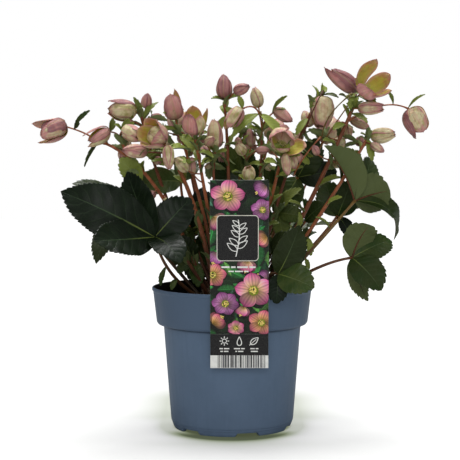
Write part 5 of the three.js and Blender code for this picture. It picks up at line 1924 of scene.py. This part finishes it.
# %% [markdown]
# Some flowers carry bracts of their own, as (root, tip, width, tone). The others get a few by chance.

# %% Grow the flowers
FLOWER_BRACTS = {
    "flower_01": [[(-184, -20, 358), (-166, -25, 377), 7, 0.15],
        [(-186, -20, 358), (-182, -30, 366), 8, 0.1]],
    "flower_02": [[(-143, -30, 351), (-139, -36, 368), 8, 0.45],
        [(-150, -20, 345), (-173, -24, 311), 6, 0.1]],
    "flower_07": [[(-71, -26, 343), (-48, -42, 330), 15, 1.1]],
    "flower_11": [[(-9, 15, 389), (-25, 8, 391), 8, 0.7], [(-9, 15, 388), (10, 8, 394), 9, 0.75]],
    "flower_12": [[(10, -14, 378), (7, -20, 394), 7, 0.8], [(24, -12, 368), (1, -26, 346), 16, 0.8],
        [(30, -8, 372), (57, -22, 345), 14, 0.95]],
    "flower_13": [[(46, 0, 376), (65, -10, 394), 8, 0.5], [(48, 0, 377), (63, -14, 378), 7, 0.7]],
    "flower_16": [[(19, -66, 290), (7, -80, 303), 9, 0.8], [(20, -64, 288), (35, -80, 299), 9, 0.8]],
    "flower_17": [[(108, 10, 396), (92, 2, 380), 8, 0.5], [(108, 10, 396), (126, 2, 392), 7, 0.3]],
    "flower_18": [[(148, -12, 395), (133, -14, 391), 9, 0.85], [(149, -12, 396), (168, -22, 383), 14, 0.95],
        [(150, -12, 395), (138, -20, 378), 12, 0.85]],
    "flower_21": [[(209, 4, 382), (228, -4, 396), 6, 0.6], [(188, 0, 382), (183, -4, 400), 6, 0.5]],
    "flower_22": [[(155, -15, 338), (164, -26, 318), 9, 0.85], [(160, -15, 342), (150, -26, 350), 7, 0.7]],
}

for name, flower in FLOWERS.items():
    chance = random.Random(name)
    look = FLOWER_LOOKS[name]
    skin = Skin()
    base, tip = metres(flower["base"]), metres(flower["tip"])
    if "on" in flower:
        carrier, share = flower["on"]
        start = stem_line(STEMS[carrier], [share])[0]
    else:
        start = metres([*flower["foot"], FOOT_LEVEL])
    via = metres(flower["via"]) if "via" in flower else None
    line = stalk_line(start, base, tip, via, 28 if "foot" in flower else 16)
    add_stalk(skin, line, 1, look.get("stalk", chance.uniform(0.15, 0.6)), 1.5 if "foot" in flower else 1.15)
    add_flower(skin, base, tip, flower["width"] * MM, look, chance)
    for root, end, width, tone in FLOWER_BRACTS.get(name, ()):
        add_bract(skin, line, metres(root), metres(end), width, tone, chance, (3, 1))
    if name not in FLOWER_BRACTS:
        add_ruff(skin, line, 3, (0.4, 0.9), (9, 14), (6, 9), (0.5, 0.95), (0.8, 1.6), chance, (3, 1))
    finishes = [tepal_finish, stem_finish, heart_finish, leaf_finish]
    settle(skin.make(name + "_tepals", finishes), "flower", name)
print("flowers grown:", len(FLOWERS))

# %% [markdown]
# ## Stems
# The flower stems rise bare from the crown and branch near the top. Each carries its side buds, and a
# few bracts where it branches.

# %% Grow the stems
STEM_RINGS = 34
STEM_TONES = {"stem_01": 0.42, "stem_02": 0.34, "stem_04": 0.3, "stem_06": 0.36, "stem_12": 0.12,
              "stem_14": 0.34}
BUD_BLUSH = {"stem_01": (0.9, 0.1), "stem_03": (0.8, 0.8), "stem_06": (0.15, 0.5), "stem_07": (0.4,),
             "stem_08": (0.8,), "stem_09": (0.3,), "stem_10": (0.4,), "stem_11": (0.6, 0.15, 0.75),
             "stem_12": (0.4,), "stem_13": (0.5, 0.4, 0.15, 0.8), "stem_14": (0.6,)}
STEM_BRACTS = {
    "stem_03": [[(-100, 6, 366), (-117, 4, 393), 8, 0.4], [(-100, 4, 366), (-88, 14, 387), 9, 0.6]],
    "stem_04": [[(-66, -50, 312), (-92, -72, 318), 10, 0.7], [(-70, -54, 320), (-54, -76, 316), 12, 0.85]],
    "stem_05": [[(-62, 10, 350), (-47, -4, 328), 16, 0.95], [(-64, 10, 352), (-84, -4, 352), 12, 0.65]],
    "stem_06": [[(-38, -30, 318), (-54, -60, 313), 9, 0.8], [(-40, -33, 330), (-22, -50, 322), 10, 0.85]],
    "stem_07": [[(-20, -18, 318), (-36, -36, 314), 9, 0.8], [(-20, -18, 322), (-6, -34, 330), 9, 0.7]],
    "stem_08": [[(-7, 15, 372), (-16, 2, 352), 9, 0.8], [(-8, 15, 380), (6, 2, 364), 10, 0.85]],
    "stem_09": [[(34, 0, 350), (18, -16, 356), 10, 0.8], [(34, 0, 352), (52, -16, 362), 10, 0.7]],
    "stem_10": [[(50, -50, 300), (66, -72, 303), 10, 0.8], [(52, -54, 312), (36, -74, 318), 11, 0.85],
        [(42, -40, 262), (58, -54, 280), 12, 0.5], [(36, -34, 240), (54, -50, 246), 12, 0.35]],
    "stem_11": [[(16, 16, 300), (0, -6, 304), 10, 0.8], [(17, 17, 312), (36, -4, 312), 10, 0.85]],
    "stem_12": [[(92, 10, 366), (76, 0, 348), 9, 0.75], [(100, 10, 382), (116, -2, 370), 8, 0.7],
        [(62, 12, 296), (44, -6, 308), 14, 0.75], [(64, 12, 300), (84, -6, 310), 13, 0.65]],
    "stem_13": [[(134, -10, 362), (118, -24, 354), 10, 0.85], [(140, -10, 374), (158, -24, 362), 10, 0.8],
        [(122, -10, 336), (106, -26, 342), 10, 0.7], [(100, -9, 284), (128, -22, 298), 14, 0.6],
        [(72, -8, 233), (78, -22, 258), 11, 0.75], [(86, -8, 258), (66, -26, 270), 13, 0.6]],
    "stem_14": [[(146, -20, 322), (130, -36, 330), 9, 0.8], [(88, -20, 225), (92, -30, 207), 10, 0.75],
        [(112, -24, 262), (128, -36, 276), 9, 0.95]],
}

for name, stem in STEMS.items():
    chance = random.Random(name)
    skin = Skin()
    s = np.linspace(0, 1, STEM_RINGS)
    line = stem_line(stem, s)
    thick = stem.get("thick", 2.4)
    radii = (thick * (1 - 0.34 * s) + swelling(s, 0, 0.7, 0.05) + swelling(s, 0.99, 0.5, 0.03)) * MM
    tone = STEM_TONES.get(name, chance.uniform(0.06, 0.34))
    add_tube(skin, line, radii, 12, 0, tone=tone + 0.1 * s.repeat(12))
    for number, (share, base, tip, width) in enumerate(stem.get("buds", ())):
        start = stem_line(stem, [share])[0]
        base, tip = metres(base), metres(tip)
        add_stalk(skin, stalk_line(start, base, tip, count=10), 0, chance.uniform(0.2, 0.6), 0.95)
        blush = BUD_BLUSH.get(name, (0.5,) * 4)[number]
        add_flower(skin, base, tip, width * MM, plain_look(blush), chance, (1, 3), (BUD_S, BUD_T))
    for share, tip, width, facing in stem.get("bracts", ()):
        root = stem_line(stem, [share])[0]
        add_leaflet(skin, root, metres(tip), width * MM, np.array(facing, float), chance, tone=0.72, teeth=9,
                    tooth_mm=1.1, rib_tone=0.9, slots=(2, 0))
    for root, end, width, tone in STEM_BRACTS.get(name, ()):
        add_bract(skin, line, metres(root), metres(end), width, tone, chance, (2, 0))
    add_ruff(skin, line, 4, (0.86, 0.99), (9, 15), (6, 10), (0.5, 1.0), (0.6, 1.5), chance, (2, 0))
    add_ruff(skin, line, 3, (0.6, 0.86), (13, 22), (7, 12), (0.2, 0.85), (0.4, 1.1), chance, (2, 0))
    add_ruff(skin, line, 4, (0.06, 0.4), (16, 32), (8, 14), (0.0, 0.2), (0.2, 0.6), chance, (2, 0))
    finishes = [stem_finish, tepal_finish, leaf_finish, heart_finish]
    settle(skin.make(name + "_shoot", finishes), "stem", name)
print("stems grown:", len(STEMS))

# %% [markdown]
# Side shoots close the gaps between the flowers: a thin stalk, a small bud and two or three bracts, some
# with no bud yet. Like the young leaves they are fine detail and stand for no CAD node. A row gives the
# stem, how far up it the stalk leaves, where the bud starts, its length and its blush. A loose stalk is
# (foot, middle, end, tone), and a stalk bract is (leaf, root, tip, width, tone).

# %% Side shoots
SIDE_SHOOTS = [
    ("stem_05", 0.88, (-80, 24, 352), 16, 0.7), ("stem_05", 0.8, (-72, 20, 336), 14, 0.3),
    ("stem_05", 0.92, (-58, 28, 350), 17, 0.8), ("stem_05", 0.76, (-52, 20, 326), 15, 0.5),
    ("stem_06", 0.95, (-38, -4, 350), 14, 0.6), ("stem_07", 0.97, (-32, 6, 326), 13, 0.9),
    ("stem_07", 0.9, (-25, 2, 314), 12, 0.4), ("stem_03", 0.7, (-88, -6, 316), 13, 0.6),
    ("stem_03", 0.88, (-121, 2, 340), 15, 0.2), ("stem_02", 0.9, (-129, -16, 331), 13, 0.7),
    ("stem_08", 0.76, (-10, 22, 330), 15, 0.8), ("stem_11", 0.99, (8, 18, 334), 13, 0.5),
    ("stem_09", 0.95, (25, 22, 348), 14, 0.9), ("stem_09", 0.8, (38, 6, 316), 13, 0.2),
    ("stem_10", 0.92, (46, -4, 330), 15, 0.6), ("stem_12", 0.78, (84, 22, 350), 16, 0.4),
    ("stem_13", 0.76, (112, 20, 346), 15, 0.7), ("stem_13", 0.88, (138, 22, 358), 17, 0.5),
    ("stem_14", 0.93, (150, 6, 338), 14, 0.9), ("stem_12", 0.66, (82, 2, 326), 13, 0.7),
    ("stem_13", 0.66, (122, 2, 316), 13, 0.2), ("stem_03", 0.97, (-97, 12, 368), 14, 1.0),
    ("stem_15", 0.9, (-52, 58, 346), 18, 0.5), ("stem_16", 0.9, (52, 56, 336), 18, 0.6),
]
LOOSE_STALKS = [
    [(84, -20, 350), (95, -24, 378), (107, -8, 400), 0.05],
    [(106, -6, 342), (114, -16, 370), (141, -14, 397), 0.95],
    [(100, 2, 326), (122, -8, 362), (146, -12, 396), 0.8],
    [(72, -18, 300), (84, -24, 322), (104, -18, 346), 0.4],
    [(-94, -14, 330), (-90, -22, 345), (-96, -18, 364), 0.5],
    [(30, 0, 340), (36, -10, 356), (33, -12, 376), 0.9],
]
STALK_BRACTS = [
    ("leaf_left_large", (-76, -60, 198), (-83, -58, 175), 7, 0.14),
    ("leaf_left_large", (-66, -46, 184), (-70, -60, 170), 7, 0.2),
    ("leaf_right_lower", (88, -36, 188), (84, -46, 206), 8, 0.5),
    ("leaf_right_upper", (110, -46, 240), (96, -58, 254), 8, 0.55),
]
skin = Skin()
chance = random.Random("shoots")
for name, share, base, length, blush in SIDE_SHOOTS:
    start = stem_line(STEMS[name], [share])[0]
    base = metres(base)
    aim = unit(unit(base - start) + np.array([chance.uniform(-0.6, 0.6), -0.3, chance.uniform(-0.7, 0.5)]))
    line = stalk_line(start, base, base + aim * length * MM, count=10)
    add_stalk(skin, line, 1, chance.uniform(0.1, 0.5), 0.95)
    look = plain_look(blush, CLOSED if chance.random() < 0.6 else 0.35)
    width = length * chance.uniform(0.6, 0.75)
    add_flower(skin, base, base + aim * length * MM, width * MM, look, chance, grid=(BUD_S, BUD_T))
    add_ruff(skin, line, 3, (0.6, 0.95), (11, 17), (7, 11), (0.45, 1.0), (0.7, 1.5), chance, (3, 1))
for start, middle, end, tone in LOOSE_STALKS:
    line = curve_through(metres(start), metres(middle), metres(end), np.linspace(0, 1, 12))
    add_stalk(skin, line, 1, tone, 0.9)
for name, root, tip, width, tone in STALK_BRACTS:
    leaf = LEAVES[name]
    line = rising_line(leaf["foot"], leaf["middle"], leaf["hub"], np.linspace(0, 1, STALK_RINGS))
    add_bract(skin, line, metres(root), metres(tip), width, tone, chance, (3, 1))
settle(skin.make("side_shoots", [tepal_finish, stem_finish, heart_finish, leaf_finish]), "flower")
print("side shoots:", len(SIDE_SHOOTS))

# %% [markdown]
# ## Floor, light and view
# The plant stands on a plain white floor in a white room. The light comes from a broad soft source
# overhead, a little to the back, and a weak one beside the camera. The sky is white to the camera, but
# as a light it is bright only from above and from the front, and dim at the sides, so that the dark
# leaves keep their depth.
#
# A floor as bright as this one would lose the soft shade around the pot, so the shade is painted: it
# fades with the distance from a patch behind the pot and from the foot ring. Each shade is (the metres
# over which it fades, how dark it is). The glow of the floor is only for the camera.

# %% Floor shades
FLOOR_SIZE = 8.0
FLOOR_GLOW = 0.6
SHADE_WIDTH = 0.085
SHADE_LENGTH = 0.17
BACK_SHADE = (0.045, 0.46)
SIDE_SHADE = (0.012, 0.38)
FRONT_SHADE = (0.055, 0.6)
FOOT_EDGE = FOOT_RADIUS * MM
FOOT_SHIFT = 0.017
FOOT_REACH = 0.0695
FOOT_SHADE = (0.008, 1.0)
UNDER_SHADE = 0.93
CLEAR_FLOOR = 0.92
UNDER_GLOW = 0.075
UNDER_TINT = (0.85, 1.0, 0.55, 1)
CONTACT_SHADE = (0.06, 0.075, 0.04, 1)
FLOOR_BOUNCE = (0.46, 0.47, 0.46, 1)

floor_finish, tree, shader = new_finish("pale_floor")
veil = use(tree, CLOUDED, {
    "Size": 400.0, "Amount": 0.3, "Colour": (0.355, 0.36, 0.352, 1), "Other": (0.345, 0.35, 0.342, 1)})
put(shader.inputs["Roughness"], ease(veil["Mask"], 0.0, 1.0, 0.7, 0.8))
x, y, _ = split(node(tree, "NewGeometry", None, "Position"))


def distance_to(x, y):
    return reckon("SQRT", x * x + y * y)


def fading_from(distance, edge, shade, share):
    fade, depth = shade
    beyond = reckon("MAXIMUM", distance - edge, 0.0)
    return reckon("EXPONENT", beyond / -fade) * (share * depth)


behind = distance_to(x, y - reckon("MINIMUM", reckon("MAXIMUM", y, 0.0), SHADE_LENGTH))
from_pot = distance_to(x, y)
from_foot = distance_to(x, y + FOOT_SHIFT)
shades = [
    fading_from(behind, SHADE_WIDTH, BACK_SHADE, ease(y, 0.0, 0.06)),
    fading_from(behind, SHADE_WIDTH, SIDE_SHADE, ease(y, 0.0, 0.06, 1.0, 0.0)),
    fading_from(from_pot, FOOT_EDGE, FRONT_SHADE, ease(y, -0.115, -0.065, 1.0, 0.0)),
    fading_from(from_foot, FOOT_REACH, FOOT_SHADE, ease(y, -0.062, -0.024, 1.0, 0.0)),
    ease(from_pot, FOOT_EDGE - 0.006, FOOT_EDGE + 0.003, UNDER_SHADE, 0.0),
]
left = 1.0 - shades[0]
for dark in shades[1:]:
    left = left * (1.0 - dark)
clear = ease(left, 0.0, CLEAR_FLOOR)
glow = left * (FLOOR_GLOW - UNDER_GLOW) + UNDER_GLOW
seen = node(tree, "LightPath", None, "Is Camera Ray")
put(shader.inputs["Emission Color"], mix(clear, UNDER_TINT, (1.0, 1.0, 1.0, 1)))
put(shader.inputs["Emission Strength"], seen * glow)
put(shader.inputs["Base Color"], mix(seen, FLOOR_BOUNCE, mix(clear, CONTACT_SHADE, veil["Colour"])))
print("floor finish:", len(shades), "shades")

# %% Floor, sky and lamps
SKY_TOP = 0.5
SKY_SIDE = 0.06
SKY_FRONT = 0.3

floor_mesh = bpy.data.meshes.new("floor")
reach = FLOOR_SIZE / 2
corners = [(-reach, -reach, 0), (reach, -reach, 0), (reach, reach, 0), (-reach, reach, 0)]
floor_mesh.from_pydata(corners, [], [[0, 1, 2, 3]])
floor_mesh.materials.append(floor_finish)
floor = show("floor", floor_mesh)

world = bpy.data.worlds.new("white_room")
world.use_nodes = True
tree = world.node_tree
sky = tree.nodes["Background"]
sky.inputs["Color"].default_value = (1.0, 1.0, 1.0, 1.0)
_, y, z = split(node(tree, "TexCoord", None, "Generated"))
lit = ease(z, 0.05, 0.85, SKY_SIDE, SKY_TOP) + ease(y * -1.0, 0.55, 1.0, 0.0, SKY_FRONT)
put(sky.inputs["Strength"], reckon("MAXIMUM", lit, node(tree, "LightPath", None, "Is Camera Ray")))
bpy.context.scene.world = world


def add_sun(name, strength, softness, tilt):
    """A distant lamp. With a tilt above 0 it shines from the front, below 0 from the back."""
    lamp = bpy.data.lights.new(name, "SUN")
    lamp.energy = strength
    lamp.angle = math.radians(softness)
    show(name, lamp).rotation_euler = (math.radians(tilt), 0, 0)


add_sun("key", 3.4, 28, -18)
add_sun("front", 0.8, 30, 70)
bpy.context.scene.view_settings.view_transform = "Standard"
print("room lit")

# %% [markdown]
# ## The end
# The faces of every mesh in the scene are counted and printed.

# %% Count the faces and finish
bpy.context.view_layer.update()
faces = sum(len(piece.data.polygons) for piece in bpy.data.objects if piece.type == "MESH")
print("faces in all:", faces)
